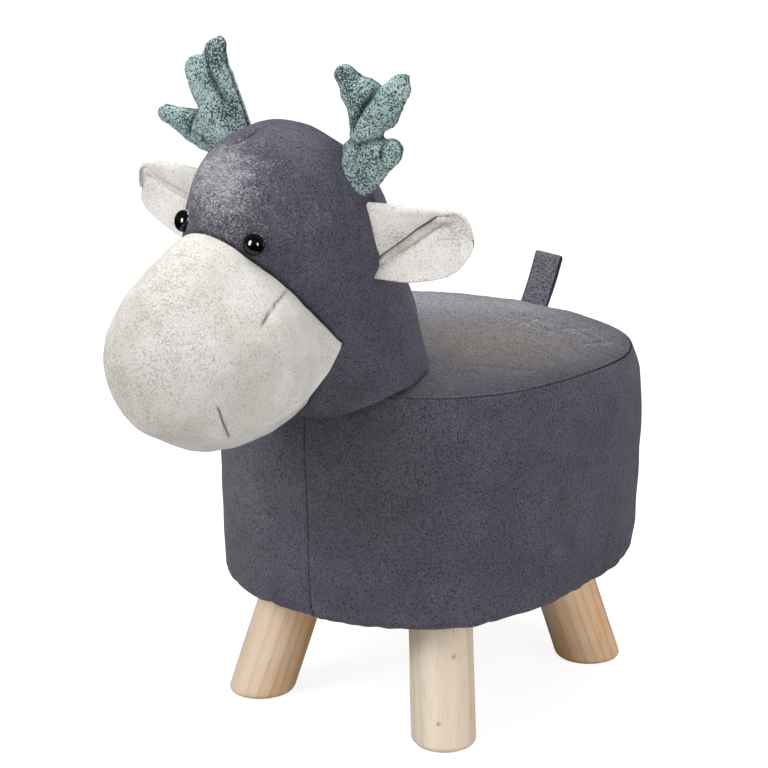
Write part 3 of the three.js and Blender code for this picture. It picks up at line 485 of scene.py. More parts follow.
def head():
    """The stuffed head: sections up from the neck and over the dome, its lower edge rolled in to where it is sewn."""
    angle = np.linspace(0, 2 * math.pi, 501)[:-1]
    neck = DOME_START + (NECK_BOTTOM - DOME_START) * (1 - np.linspace(0, 1, 115)[:-1] ** 1.6)
    dome = DOME_START + (CROWN_TOP - DOME_START) * np.sin(np.linspace(0, math.pi / 2, 76)[:-1])
    height = np.concatenate([neck, dome])[:, None]
    width, middle, _, back, fullness = head_section(height)
    ahead = np.sin(angle) < 0
    across = np.where(ahead, width * signed_power(np.cos(angle), 2 / fullness), width * np.cos(angle))
    along = np.where(ahead, face_along(across, height), middle + back * np.abs(np.sin(angle)))
    share = np.clip((DOME_START - height) / (DOME_START - NECK_BOTTOM), 0, 1)
    lift = NECK_RISE * share**4 * (across / NECK_HALF_WIDTH) ** 2
    rings = np.stack([across, along, height + lift], -1)
    normal = outward(rings)

    gap, _ = line_distance(rings, muzzle_seam(np.linspace(0, 2 * math.pi, 73)), normal)
    brow, jaw = seam_levels(across)
    inside = ahead & (np.abs(across) < CHEEK) & (rings[..., 2] < brow) & (rings[..., 2] > jaw)
    outside = ~inside
    # Sunk under the muzzle, with a raised lip outside its seam; then the panels' seam, the darts and the eyes' dimples
    relief = np.where(inside, -1.1 - 6 * ease(gap, 0, 8), 0.5 * bell(gap - 5, 4) - 1.6 * bell(gap, 2.2))
    panel = np.where(rings[..., 2] > PANEL_SEAM_FOOT, np.abs(along - PANEL_SEAM), FAR)
    relief += outside * (0.35 * bell(panel - 3, 2) - 1.0 * bell(panel, 0.9))
    lines = crease(rings, CROWN_DART, 1.1, 0.3, normal)
    relief -= 1.1 * lines + 1.2 * crease(rings, CROWN_DART, 5, 0.4, normal)
    # Each jaw fold is sunk and drawn faintly darker, a painted shade in the fold
    for path in both_sides(JAW_LINE):
        line = crease(rings, path, 1.2, 0.3, normal)
        relief -= 0.5 * line
        lines = np.maximum(lines, 0.3 * line)
    for eye_across, eye_level in EYES.values():
        relief -= 1.6 * patch(rings, (eye_across, face_along(eye_across, eye_level), eye_level), 9.5)
    relief += outside * (0.8 * ripple(rings, 75, 11) + 0.25 * ripple(rings, 22, 12)) - brow_hollow(rings)
    relief += patches(rings, [(4.5, (side * 68, -126, 344), 36) for side in (1, -1)])
    # The lower edge rolls in where it meets the seat
    above = np.minimum(seat_gap(rings), rings[..., 2] - (NECK_BOTTOM + lift))
    hold = np.clip(above / NECK_TUCK, 0, 1)
    relief = relief * ease(above, 0, 12) - NECK_TUCK * (1 - np.sqrt(1 - (1 - hold) ** 2))
    rings = rings + normal * relief[..., None]

    seams = outside * np.maximum(bell(gap, 1.4), bell(panel, 0.7) * 0.9)
    # Painted shade along the head's lower edge where it meets the seat, with the seams and the darts' and jaw folds'
    # lines
    dark = np.maximum(seams, np.maximum(0.9 * lines, bell(above, 2.3)))
    wear_and_painted_light = patches(rings, HEAD_RUBS_AND_SHEEN)
    foot = mix(np.array([0, NECK_LINE, 0]), rings[0] * [1, 1, 0], 0.6) + rings[0] * [0, 0, 1]
    rings = np.concatenate([foot[None], rings])
    dark, wear_and_painted_light = [np.concatenate([values[:1], values]) for values in (dark, wear_and_painted_light)]
    replaced = ["head_face_cover", "head_back_cover", "head_filling"]
    return skin("head", rings, replaced, {"crease": dark, "wear_and_painted_light": wear_and_painted_light})


MUZZLE_MIDDLE = np.array([0, -281, 345.5])
MUZZLE_TILT = math.radians(34)
NOSEWARD = np.array([0, -math.cos(MUZZLE_TILT), -math.sin(MUZZLE_TILT)])
BROWWARD = np.array([0, -math.sin(MUZZLE_TILT), math.cos(MUZZLE_TILT)])
EGG_ASIDE, EGG_AHEAD, EGG_UP = 72, 78, 69
DARTS = [
    [(46.5, -249, 381), (52, -275, 375), (59, -299, 366)],
    [(47.5, -331, 320), (44, -320, 303), (39.5, -307, 287)],
]
CHEEK_FOLD = [(60, -216, 330), (64.6, -235, 322), (64, -253, 308), (56, -262, 298)]
MUZZLE_FULLNESS = [(1.2, (0, -345, 300), 40), (1.6, (14, -342, 291), 10), (1.2, (-12, -343, 290), 9)]
# Where the brown specks crowd: strength, middle and size. More on the top and fewer low down, so they are partly
# painted shade on the brightly lit top
MUZZLE_SPECKS_AND_SHADE = [
    (0.85, (-30, -345, 330), 34), (0.7, (50, -300, 372), 18), (0.3, (20, -335, 300), 34), (0.85, (-8, -322, 398), 40),
    (0.4, (30, -340, 350), 45),
]


def muzzle():
    """The padded ball: rays from its middle, an egg at the nose that passes to the face's seam, then tucked in."""
    angle = np.linspace(0, 2 * math.pi, 521)[:-1]
    seam = muzzle_seam(angle) - MUZZLE_MIDDLE
    reach = np.linalg.norm(seam, axis=-1)
    ahead, up, aside = seam @ NOSEWARD, seam @ BROWWARD, seam[:, 0]
    opening = np.arccos(ahead / reach)
    slant = np.hypot(up, aside)
    up_share = up / slant

    def egg(lean):
        """The egg's radius along a ray that leans this far off the nose's direction."""
        spread = np.sin(lean)
        square = (spread * np.sqrt(1 - up_share**2) / EGG_ASIDE) ** 2 + (np.cos(lean) / EGG_AHEAD) ** 2
        return 1 / np.sqrt(square + (spread * up_share / EGG_UP) ** 2)

    share = (1 - (1 - np.linspace(0, 1, 176)[1:]) ** 1.15)[:, None]
    lean = opening * share
    power = mix(2.7, 0.5, np.maximum(up_share, 0))
    length = egg(lean) * (1 + (reach / egg(opening) - 1) * share**power)
    sideways = (np.sin(lean) * (aside / slant))[..., None] * np.array([1, 0, 0])
    heading = np.cos(lean)[..., None] * NOSEWARD + (np.sin(lean) * up_share)[..., None] * BROWWARD + sideways
    rings = MUZZLE_MIDDLE + heading * length[..., None]
    normal = outward(rings)

    gap, _ = line_distance(rings, rings[-1, ::6])
    relief = 1.1 - 1.2 * (1 - ease(gap, 0, 2.2)) + 0.5 * ripple(rings, 60, 21) + 0.25 * ripple(rings, 20, 22)
    relief -= patches(rings, [(4.6, (side * 46, -318, 392), 40) for side in (1, -1)]) * ease(gap, 0, 20)
    dark = 0.55 * bell(gap, 0.8)
    for dart in DARTS:
        for path in both_sides(dart):
            line = crease(rings, path, 0.75, 0.12, normal)
            relief -= 1.7 * line + 1.3 * crease(rings, path, 7, 0.45, normal)
            dark = np.maximum(dark, 0.85 * line)
    for path in both_sides(CHEEK_FOLD):
        relief -= 0.7 * crease(rings, path, 1.8, 0.3, normal)
    relief += patches(rings, MUZZLE_FULLNESS)
    rings = rings + normal * relief[..., None]

    root = np.array([0, -195, 345.5])
    tuck = [rings[-1] + (root - rings[-1]) * share for share in (0.012, 0.03, 0.06, 0.1)]
    rings = np.concatenate([rings, np.stack(tuck)])
    # The tucked-in cloth is painted dark: painted shade in the gap where the muzzle goes into the head
    dark = np.concatenate([dark, np.full((len(tuck), dark.shape[1]), 0.8)])
    marks = {"crease": dark, "wear_and_painted_light": patches(rings, MUZZLE_SPECKS_AND_SHADE)}
    return skin("muzzle", rings, ["muzzle_cover"], marks)


def eye(name):
    """A domed button turned about the face's outward direction, with a short wall that sinks into the cloth."""
    across, level = EYES[name]
    place = np.array([across, face_along(across, level), level])
    right = np.array([14, face_along(across + 7, level) - face_along(across - 7, level), 0])
    up = np.array([0, face_along(across, level + 7) - face_along(across, level - 7), 14])
    axis = np.cross(right, up)
    axis /= np.linalg.norm(axis)
    right /= np.linalg.norm(right)
    up = np.cross(axis, right)
    turn = np.linspace(0, math.pi / 2, 26)[:-1]
    radius = np.concatenate([[EYE_RADIUS - 0.8, EYE_RADIUS - 0.2, EYE_RADIUS], EYE_RADIUS * np.cos(turn) ** 0.9])
    rise = np.concatenate([[-2.4, -1.6, -0.6], 0.3 + EYE_DOME * np.sin(turn)]) - brow_hollow(place)
    angle = np.linspace(0, 2 * math.pi, 65)[:-1]
    circle = np.cos(angle)[:, None] * right + np.sin(angle)[:, None] * up
    rings = place + radius[:, None, None] * circle[None] + rise[:, None, None] * axis
    return skin(name + "_button", rings, [name])


# Ears: a hook in section, whose leaf is cupped and whose upper edge is folded forward as a flap. The right one was cut
# and folded a little differently from the left, and has less soiling and less painted shade under its flap.

EARS = {
    "ear_left": {
        "side": 1, "flap_height": 42, "flap_end": 0.72, "flap_power": 1, "corner": 24, "upper_edge": 27,
        "lower_edge": (26, 30), "soil_and_shade": 1,
    },
    "ear_right": {
        "side": -1, "flap_height": 26, "flap_end": 0.82, "flap_power": 0.75, "corner": 10, "upper_edge": 31.5,
        "lower_edge": (29, 16), "soil_and_shade": 0.35,
    },
}


def ear(name, side, flap_height, flap_end, flap_power, corner, upper_edge, lower_edge, soil_and_shade):
    """The leaf runs up from its lower edge, bends forward over the top and comes down as a flap that narrows outward.
    Under the flap's free edge the leaf is pushed up into a roll, with a groove below it."""
    share = 1 - (1 - np.linspace(0, 0.996, 120)[:, None]) ** 1.25
    upright = ease(share, 1, flap_end + 0.04)
    leaf, below = np.sqrt(1 - share**corner), np.sqrt(1 - share**4)
    half, lower = mix(upper_edge, 25.5, share) * leaf, mix(*lower_edge, share) * below
    flap = flap_height * np.maximum(1 - share / flap_end, 0) ** flap_power * leaf + 1.2 * leaf * upright
    bend = mix(2.6, 1.6, share) * leaf * mix(0.3, 1, upright) + 0.15
    edge_level = half - bend - flap

    def cup(level):
        """How far forward the leaf stands at a level: hollow, with the roll under the flap and the groove below it."""
        part = level / np.where(level > 0, half, lower)
        hollow = 11 * part**2 * np.where(part > 0, 0.7 * leaf, below)
        start = ease(share, 0.02, 0.3)
        rolled = bell(level - edge_level + 3.6, 2.4) * start * ease(share, flap_end + 0.14, flap_end + 0.04)
        groove = bell(level - edge_level + 8.6, 3.4) * start * ease(share, flap_end + 0.2, flap_end) * below
        return hollow + 3.2 * rolled - 2.4 * groove

    climb = np.linspace(0, 1, 90)[None, :]
    leaf_level = mix(-lower, half - bend, climb)
    turn = np.linspace(0, math.pi, 16)[None, 1:]
    top_level = half - bend + bend * np.sin(turn)
    top_forward = cup(half - bend) + bend * (1 - np.cos(turn))
    down = np.linspace(0, 1, 34)[None, 1:]
    flap_level = half - bend - flap * down
    flap_forward = mix(top_forward[:, -1:], cup(edge_level) + 2.9, down)
    flap_forward += 2 * np.sin(math.pi * down) * flap / flap_height
    level = np.concatenate([leaf_level, top_level, flap_level], 1)
    forward = np.concatenate([cup(leaf_level), top_forward, flap_forward], 1)

    slope_level, slope_forward = np.gradient(level, axis=1), np.gradient(forward, axis=1)
    slope = np.hypot(slope_level, slope_forward) + 1e-6
    place = np.linspace(0, 1, level.shape[1])[None, :]
    thick = mix(0.5, 1.1, ease(np.minimum(place, 1 - place), 0, 0.05)) * ease(leaf, 0, 0.35) + 0.25
    thick = np.minimum(thick, 0.2 + 0.6 * bend) / slope
    behind = (level + thick * slope_forward, forward - thick * slope_level)
    facing = (level - thick * slope_forward, forward + thick * slope_level)
    level = np.concatenate([behind[0], facing[0][:, ::-1]], 1)
    forward = np.concatenate([behind[1], facing[1][:, ::-1]], 1) * mix(0.75, 1, ease(share, 0, 0.45))
    across = mix(66, 149.5, share) + np.zeros_like(level)
    height = mix(406, 412.5, share) + level
    rings = np.stack([side * across, -179 + 10 * share - forward, height], -1)
    hang = ease(across, 80, 115)
    rings[..., 1] += 1.6 * ripple(rings, 45, 31 + (side > 0)) * hang
    rings[..., 2] += 1.0 * ripple(rings, 40, 33 + (side > 0)) * hang

    # Painted shade: a dark line just under the flap's free edge, and crowded specks in the groove below the roll;  more
    # specks in two spots, at the tip and along the lower edge
    strong = mix(0.7, 1, np.maximum(bell(share - flap_end + 0.12, 0.13), bell(share, 0.15)))
    line = strong * bell(leaf_level - edge_level + 2, 1.5) * ease(share, flap_end + 0.02, flap_end - 0.08)
    painted_shade = bell(leaf_level - edge_level + 8, 3) * ease(share, flap_end + 0.16, flap_end)
    unmarked = np.zeros((len(share), level.shape[1] - leaf_level.shape[1]))
    line, painted_shade = [np.concatenate([unmarked, mark[:, ::-1]], 1) for mark in (line, painted_shade)]
    spots = patches(rings, [(0.8, (side * 95, -178, 408), 11), (0.7, (side * 134, -172, 422), 13)])
    edges = 0.35 * (bell(across - 150, 12) + bell(height - 381, 7))
    marks = {"crease": 0.95 * soil_and_shade * line, "wear_and_painted_light": 0.1 + soil_and_shade * (1.1 * painted_shade + spots + edges)}
    return skin(name + "_leaf", rings, [name], marks)


# Antlers: flat bags of cloth, stuffed, with a seam round their outline

# Seen from the front, as places across and up: each bag by its two ends and their radii, each fold by its line, width
# and depth, and each patch of painted shade by its middle and size.
ANTLERS = {
    "antler_right": {
        "bags": [
            ((-50, 457), (-61, 488), 20, 21.5), ((-60, 486), (-60.5, 507), 21, 14),
            ((-62.5, 506), (-64.5, 527.5), 12.5, 10.8), ((-63, 527), (-59.5, 534.5), 9.5, 6.8),
            ((-72, 494), (-83, 513.5), 14, 11), ((-83.5, 514), (-72, 516.5), 10.5, 10),
            ((-74, 467), (-114, 474.8), 16.5, 7.4),
        ],
        "folds": [
            ([(-73, 530), (-70.3, 526.4), (-64.9, 515.5), (-56, 502.9), (-45, 491)], 2.3, 3.8),
            ([(-80, 489), (-82, 482), (-83.2, 474), (-84.6, 463)], 2.0, 2.2), ([(-71, 468), (-64, 458)], 2.0, 1.4),
        ],
        "dark": [(-62, 525, 12), (-47, 490, 11), (-90, 474, 9)],
    },
    "antler_left": {
        "bags": [
            ((57, 447), (66, 467), 16, 15.5), ((62, 449), (90, 471.5), 14.2, 11), ((68, 470), (69, 497), 14.5, 17),
            ((54.5, 470), (62, 468), 9, 10), ((63, 510), (50.5, 522.5), 15, 10), ((62, 511), (80.5, 512), 15.5, 11.5),
            ((83, 500), (97, 520), 14.5, 10.2), ((98, 521), (102.5, 527.5), 8.5, 4.5),
        ],
        "folds": [
            ([(83, 526), (82.2, 523.3), (78, 511.6), (67.9, 496.3), (58, 482)], 2.5, 5.4),
            ([(92, 486), (78.2, 480), (69.6, 475.9), (52, 478.5)], 2.2, 3.6),
            ([(87, 485), (85, 476.9), (85.8, 467)], 1.7, 2.2),
        ],
        "dark": [(70, 508, 11), (55, 522, 9), (62, 492, 8), (70, 455, 9)],
    },
}
ANTLER_ALONG = -184


def bag(start, end, start_radius, end_radius):
    """A bag with round ends that tapers between two places, flatter from front to back than across."""
    axis = np.subtract(end, start)
    length = np.linalg.norm(axis)
    axis = axis / length
    turn = np.linspace(0, math.pi / 2, 7)
    radius = np.concatenate([start_radius * np.sin(turn), end_radius * np.cos(turn)])
    place = np.concatenate([-start_radius * np.cos(turn), length + end_radius * np.sin(turn)])
    angle = np.linspace(0, 2 * math.pi, 25)[:-1]
    sideways = radius[:, None] * np.cos(angle)
    across = start[0] + axis[0] * place[:, None] - axis[1] * sideways
    height = start[1] + axis[1] * place[:, None] + axis[0] * sideways
    along = ANTLER_ALONG + 0.6 * radius[:, None] * np.sin(angle)
    return np.stack([across, along, height], -1)


def baked(piece, kind, **settings):
    """Runs one modifier and keeps its result as the piece's mesh."""
    modifier = piece.modifiers.new(kind.lower(), kind)
    for name, value in settings.items():
        setattr(modifier, name, value)
    mesh = bpy.data.meshes.new_from_object(piece.evaluated_get(bpy.context.evaluated_depsgraph_get()))
    piece.modifiers.clear()
    piece.data = mesh


def places(piece):
    """The piece's vertices in millimetres from the seat's middle, and their normals."""
    count = len(piece.data.vertices)
    values, normals = np.empty(count * 3), np.empty(count * 3)
    piece.data.vertices.foreach_get("co", values)
    piece.data.vertex_normals.foreach_get("vector", normals)
    return (values.reshape(-1, 3) - SEAT_MIDDLE) * 1000, normals.reshape(-1, 3)


def put(piece, points):
    piece.data.vertices.foreach_set("co", to_frame(points).ravel())
    piece.data.update()


def swell(piece, pressure, cap):
    """Cloth under pressure for 20 frames without gravity; no point moves further than the cap in millimetres."""
    before, _ = places(piece)
    cloth = piece.modifiers.new("swell", "CLOTH")
    cloth.settings.use_pressure = True
    cloth.settings.uniform_pressure_force = pressure
    cloth.settings.effector_weights.gravity = 0
    cloth.settings.tension_stiffness = cloth.settings.compression_stiffness = 25
    cloth.settings.bending_stiffness = 0.4
    for number in range(1, 21):
        scene.frame_set(number)
    mesh = bpy.data.meshes.new_from_object(piece.evaluated_get(bpy.context.evaluated_depsgraph_get()))
    piece.modifiers.clear()
    piece.data = mesh
    scene.frame_set(1)
    after, _ = places(piece)
    move = after - before
    length = np.linalg.norm(move, axis=1, keepdims=True)
    put(piece, before + move * np.minimum(1, cap / np.maximum(length, 1e-6)))


def antler(name, seed):
    """Bags joined in even squares, swelled as cloth, then pressed in along the folds and the seam round the outline."""
    rings = [bag(*shape) for shape in ANTLERS[name]["bags"]]
    faces, first = [], 0
    for ring in rings:
        rows, columns = ring.shape[:2]
        faces += (quads(rows, columns) + first).tolist()
        first += rows * columns
    points = np.concatenate([ring.reshape(-1, 3) for ring in rings])
    piece = make_piece(name + "_cloth", points, faces, [name])
    baked(piece, "REMESH", mode="VOXEL", voxel_size=0.0028)
    baked(piece, "SMOOTH", factor=0.5, iterations=4)
    swell(piece, pressure=3, cap=4)
    baked(piece, "SUBSURF", levels=2, render_levels=2)

    points, normal = places(piece)
    faces_front = np.abs(normal[:, 1])
    off_middle = points[:, 1] - ANTLER_ALONG - 0.7 * ripple(points, 22, seed)
    seam = bell(off_middle, 1.1) * (1 - faces_front) ** 0.5
    relief = -0.9 * seam + 0.5 * bell(np.abs(off_middle) - 2.6, 1.6) * (1 - faces_front)
    relief += 0.4 * ripple(points, 17, seed + 1) + 0.12 * ripple(points, 8, seed + 2)
    relief += 0.15 * np.cos(points @ [0.9, 0, 0.9]) * bell(off_middle, 5)
    dark = 0.95 * seam
    # Each fold is pressed in and drawn dark, a painted shade in its depth
    for path, width, depth in ANTLERS[name]["folds"]:
        path = np.array([(across, 0, height) for across, height in path])
        line = crease(points * [1, 0, 1], path, width, 0.1) * faces_front
        relief -= depth * line
        dark = np.maximum(dark, 0.95 * line**1.2)
    # Patches of crowded dark print, painted shade on the sides of the folds
    painted_shade = [(1, (across, ANTLER_ALONG - 8, height), size) for across, height, size in ANTLERS[name]["dark"]]
    put(piece, points + normal * relief[:, None])
    piece.data.shade_smooth()
    add_marks(piece.data, {"crease": dark, "wear_and_painted_light": patches(points, painted_shade)})
    return piece


# Tail: a strap folded over, its second layer offset behind the first

STRAP_HALF_WIDTH, STRAP_HALF_THICK, STRAP_CORNER = 12.5, 0.9, 10.6
TAIL_HEIGHT, TAIL_FOLD, TAIL_FOOT = 45, 2.1, 1.3
TAIL_ACROSS, TAIL_ALONG, TAIL_SUNK = -9, 160, 1.5
TAIL_LEAN, TAIL_SLANT = math.radians(27), math.radians(4)


def tail():
    """A flat section with rounded edges carried up one leg of the strap, round the fold and down the other."""
    climb = np.linspace(0, 1, 30)
    spread = mix(TAIL_FOOT, TAIL_FOLD, np.sin(climb * math.pi / 2))
    turn = np.linspace(0, math.pi, 17)[1:-1]
    offset = np.concatenate([spread, TAIL_FOLD * np.cos(turn), -spread[::-1]])
    upward = TAIL_HEIGHT * climb
    rise = np.concatenate([upward, TAIL_HEIGHT + TAIL_FOLD * np.sin(turn), upward[::-1]])
    line = np.stack([offset, rise], -1)
    slope = np.gradient(line, axis=0)
    slope /= np.linalg.norm(slope, axis=1, keepdims=True)
    side = np.stack([slope[:, 1], -slope[:, 0]], -1)
    section = np.linspace(0, 2 * math.pi, 49)[:-1]
    wide = STRAP_HALF_WIDTH * signed_power(np.cos(section), 0.16)
    thick = STRAP_HALF_THICK * signed_power(np.sin(section), 0.6)
    thick = thick * (1 - 0.35 * bell(np.abs(wide) - STRAP_CORNER, 0.7))
    place = line[:, None, :] + thick[None, :, None] * side[:, None, :]

    second_layer = np.where(np.arange(len(line)) > len(line) / 2, 0.9, 0)[:, None]
    across = wide + 0.5 * np.sin(place[..., 1] / 13) + second_layer
    along = place[..., 0] + 0.6 * np.sin(place[..., 1] / 17 + 1)
    along, up = (
        along * math.cos(TAIL_LEAN) + place[..., 1] * math.sin(TAIL_LEAN),
        place[..., 1] * math.cos(TAIL_LEAN) - along * math.sin(TAIL_LEAN),
    )
    across, up = (
        across * math.cos(TAIL_SLANT) + up * math.sin(TAIL_SLANT),
        up * math.cos(TAIL_SLANT) - across * math.sin(TAIL_SLANT),
    )
    rings = np.stack([across + TAIL_ACROSS, along + TAIL_ALONG, up + rim_height(TAIL_ALONG) - TAIL_SUNK], -1)
    edge = ease(np.abs(wide), 11.2, 12)[None, :] + 0 * rings[..., 0]
    # Painted highlight over the strap's face, with pale specks from the mark of wear and painted light; its edges
    # darker
    marks = {"crease": 0.8 * edge, "wear_and_painted_light": 0.25 + 0 * edge, "painted_sheen": 0.4 * (1 - edge)}
    return skin("tail_strap", rings, ["tail_loop"], marks)


# Legs: round pine, cut level at both ends, with shaved flats. Each leg's wood follows grain coordinates of its own.

SPLAY, LEG_TOP, LEG_RADIUS, KNOT_RADIUS = math.radians(18.5), 103.2, 24.9, 23.8
FOOT_ACROSS, FOOT_ALONG, LEGS_FORWARD = 88.0, 106.0, 5
SOLE_ROUND, TOP_CHAMFER = 5, 3
CORNERS = {"front_left": (1, -1), "front_right": (-1, -1), "rear_left": (1, 1), "rear_right": (-1, 1)}
SHADED_SIDE = np.array([0.817, 0.576])


def leg(corner, tone, seed, knots=(), swing=0.1):
    """Level sections stretched along the splay: a circle with shaved flats, rounded at the sole and chamfered on top.
    The tone goes from pale wood at 0 to tan at 1, and swings up on the side turned away from the key light, a painted
    shade."""
    foot = np.array(CORNERS[corner]) * [FOOT_ACROSS, FOOT_ALONG]
    way = foot / np.linalg.norm(foot)
    sideways = np.array([-way[1], way[0]])
    top = foot - way * LEG_TOP * math.tan(SPLAY)
    foot, top = foot - [0, LEGS_FORWARD], top - [0, LEGS_FORWARD]
    sole = SOLE_ROUND * (1 - np.cos(np.linspace(0, math.pi / 2, 9)))
    rise = np.concatenate([sole, np.linspace(6.5, LEG_TOP - TOP_CHAMFER, 50), [LEG_TOP - 1.5, LEG_TOP]])
    rounded = SOLE_ROUND - np.sqrt(np.maximum(SOLE_ROUND**2 - (SOLE_ROUND - rise) ** 2, 0))
    inset = np.where(rise < SOLE_ROUND, rounded, np.maximum(rise - LEG_TOP + TOP_CHAMFER, 0))
    inset[0] = SOLE_ROUND
    angle = np.linspace(0, 2 * math.pi, 97)[:-1]
    dice = np.random.default_rng(seed)
    flats = dice.uniform(0, 2 * math.pi, 4)
    limit = np.min([0.982 / np.maximum(np.cos(angle - flat), 0.5) for flat in flats], axis=0)
    radius = (LEG_RADIUS - inset)[:, None] * np.minimum(1, limit)[None, :]
    radius = radius + 0.12 * np.sin(rise / 14 + seed)[:, None] * np.cos(2 * angle)
    middle = mix(foot, top, (rise / LEG_TOP)[:, None, None])
    out, beside = radius * np.cos(angle), radius * np.sin(angle)
    level = np.broadcast_to(rise[:, None], radius.shape)
    spot = middle + (out / math.cos(SPLAY))[..., None] * way + beside[..., None] * sideways
    rings = np.concatenate([spot, level[..., None]], -1)

    grain = np.stack([out, beside, level], -1) / 1000 + [seed * 0.31, 0, seed * 0.17]
    knot = 0 * radius
    for turn, knot_level in knots:
        knot = knot + bell(np.hypot((angle - turn) * KNOT_RADIUS, level - knot_level), 1.3)
    # Painted shade: the tone swings towards darker tan on the side turned away from the key light
    facing = (SHADED_SIDE @ way) * np.cos(angle) + (SHADED_SIDE @ sideways) * np.sin(angle)
    marks = {"grain": grain, "tone": tone + swing * facing + 0 * radius, "knot": knot}
    return skin("pine_" + corner, rings, ["leg_" + corner], marks)


def dust_cover():
    """The sheet under the seat, flat inside the turned hem; its shares of the oval run from the middle out."""
    across, along = plan(even_angles(160), TURNED_HEM + 0.3)
    shares = np.linspace(0.02, 1, 40)[:, None]
    rings = np.stack([shares * across, shares * along, 104.3 + 0 * shares * across], -1)
    rings[..., 2] += 0.12 * ripple(rings, 30, 41)
    piece = skin("dust_cover_cloth", rings, ["dust_cover"], ends=False)
    return piece


def stitches(name, middles, headings, length, radius):
    """Many short threads: one small barrel, tapered at both ends, turned to each heading and set at each middle."""
    angle = np.linspace(0, 2 * math.pi, 7)[:-1]
    profile = np.array([(-0.5, 0.25), (-0.3, 1), (0.3, 1), (0.5, 0.25)])
    side = np.cross(headings, [0, 0, 1.0])
    side /= np.linalg.norm(side, axis=1, keepdims=True)
    upward = np.cross(side, headings)
    circle = np.cos(angle)[:, None] * side[:, None, None, :] + np.sin(angle)[:, None] * upward[:, None, None, :]
    points = middles[:, None, None, :] + headings[:, None, None, :] * (profile[:, 0] * length)[None, :, None, None]
    points = (points + circle * (profile[:, 1] * radius)[None, :, None, None]).reshape(-1, 3)
    rows, columns = len(profile), len(angle)
    starts = (np.arange(len(middles)) * rows * columns)[:, None, None]
    caps = np.array([np.arange(columns), np.arange(columns) + (rows - 1) * columns])
    faces = (quads(rows, columns) + starts).reshape(-1, 4).tolist() + (caps + starts).reshape(-1, columns).tolist()
    return make_piece(name, points, faces, [])


def rim_thread():
    """Thread that shows in the seam between the band and the top, one stitch after another round the oval."""
    fine, length = oval_lengths()
    place = np.arange(0, length[-1], RIM_STITCH)
    angle, ahead = np.interp(place, length, fine), np.interp(place + 1, length, fine)
    turn, reach = math.radians(38), 4.35

    def spot(angle):
        level = rim_height(plan(angle, 0)[1]) + EDGE_MIDDLE_RISE
        across, along = plan(angle, RIM_IN + EDGE_ROUND - reach * math.cos(turn))
        return settled(np.stack([across, along, level + reach * math.sin(turn)], -1))

    headings = spot(ahead) - spot(angle)
    headings /= np.linalg.norm(headings, axis=1, keepdims=True)
    return stitches("rim_thread", spot(angle), headings, 2.5, 0.33)


# Materials. Patterns are given in millimetres and read the Object coordinates, which are metres.

def linear(colour):
    """An sRGB hex colour as linear red, green, blue and alpha."""
    values = [int(colour[start:start + 2], 16) / 255 for start in (1, 3, 5)]
    return [*[value / 12.92 if value <= 0.04045 else ((value + 0.055) / 1.055) ** 2.4 for value in values], 1]


def add(tree, kind, links=None, **settings):
    """Adds one node: settings go to the node, and links give each of its sockets a value or another node's output."""
    made = tree.nodes.new("ShaderNode" + kind)
    for name, value in settings.items():
        setattr(made, name, value)
    for socket, value in (links or {}).items():
        if isinstance(value, bpy.types.NodeSocket):
            tree.links.new(value, made.inputs[socket])
        else:
            made.inputs[socket].default_value = value
    return made


def per_metre(size):
    """A pattern's scale for a feature size in millimetres."""
    return 1000 / size


def new_material(name, **sockets):
    """A material with one Principled surface, whose plain values are set on its own sockets."""
    material = bpy.data.materials.new(name)
    material.use_nodes = True
    tree = material.node_tree
    tree.nodes.clear()
    surface = add(tree, "BsdfPrincipled", {key.replace("_", " "): value for key, value in sockets.items()})
    add(tree, "OutputMaterial", {"Surface": surface.outputs[0]})
    return material, tree, surface


# Millimetres across the features of the suedes. Real nap and cracks are finer than 0.5 mm: the pebbles, cells and
# specks are drawn as coarse as they need to be to show.
CLOUD, SOILING, CROWDING, CRUMPLE, PEBBLE, CELL, CELL_WANDER, SPECK = 34, 9, 16, 7, 2.5, 2.3, 3, 1.2


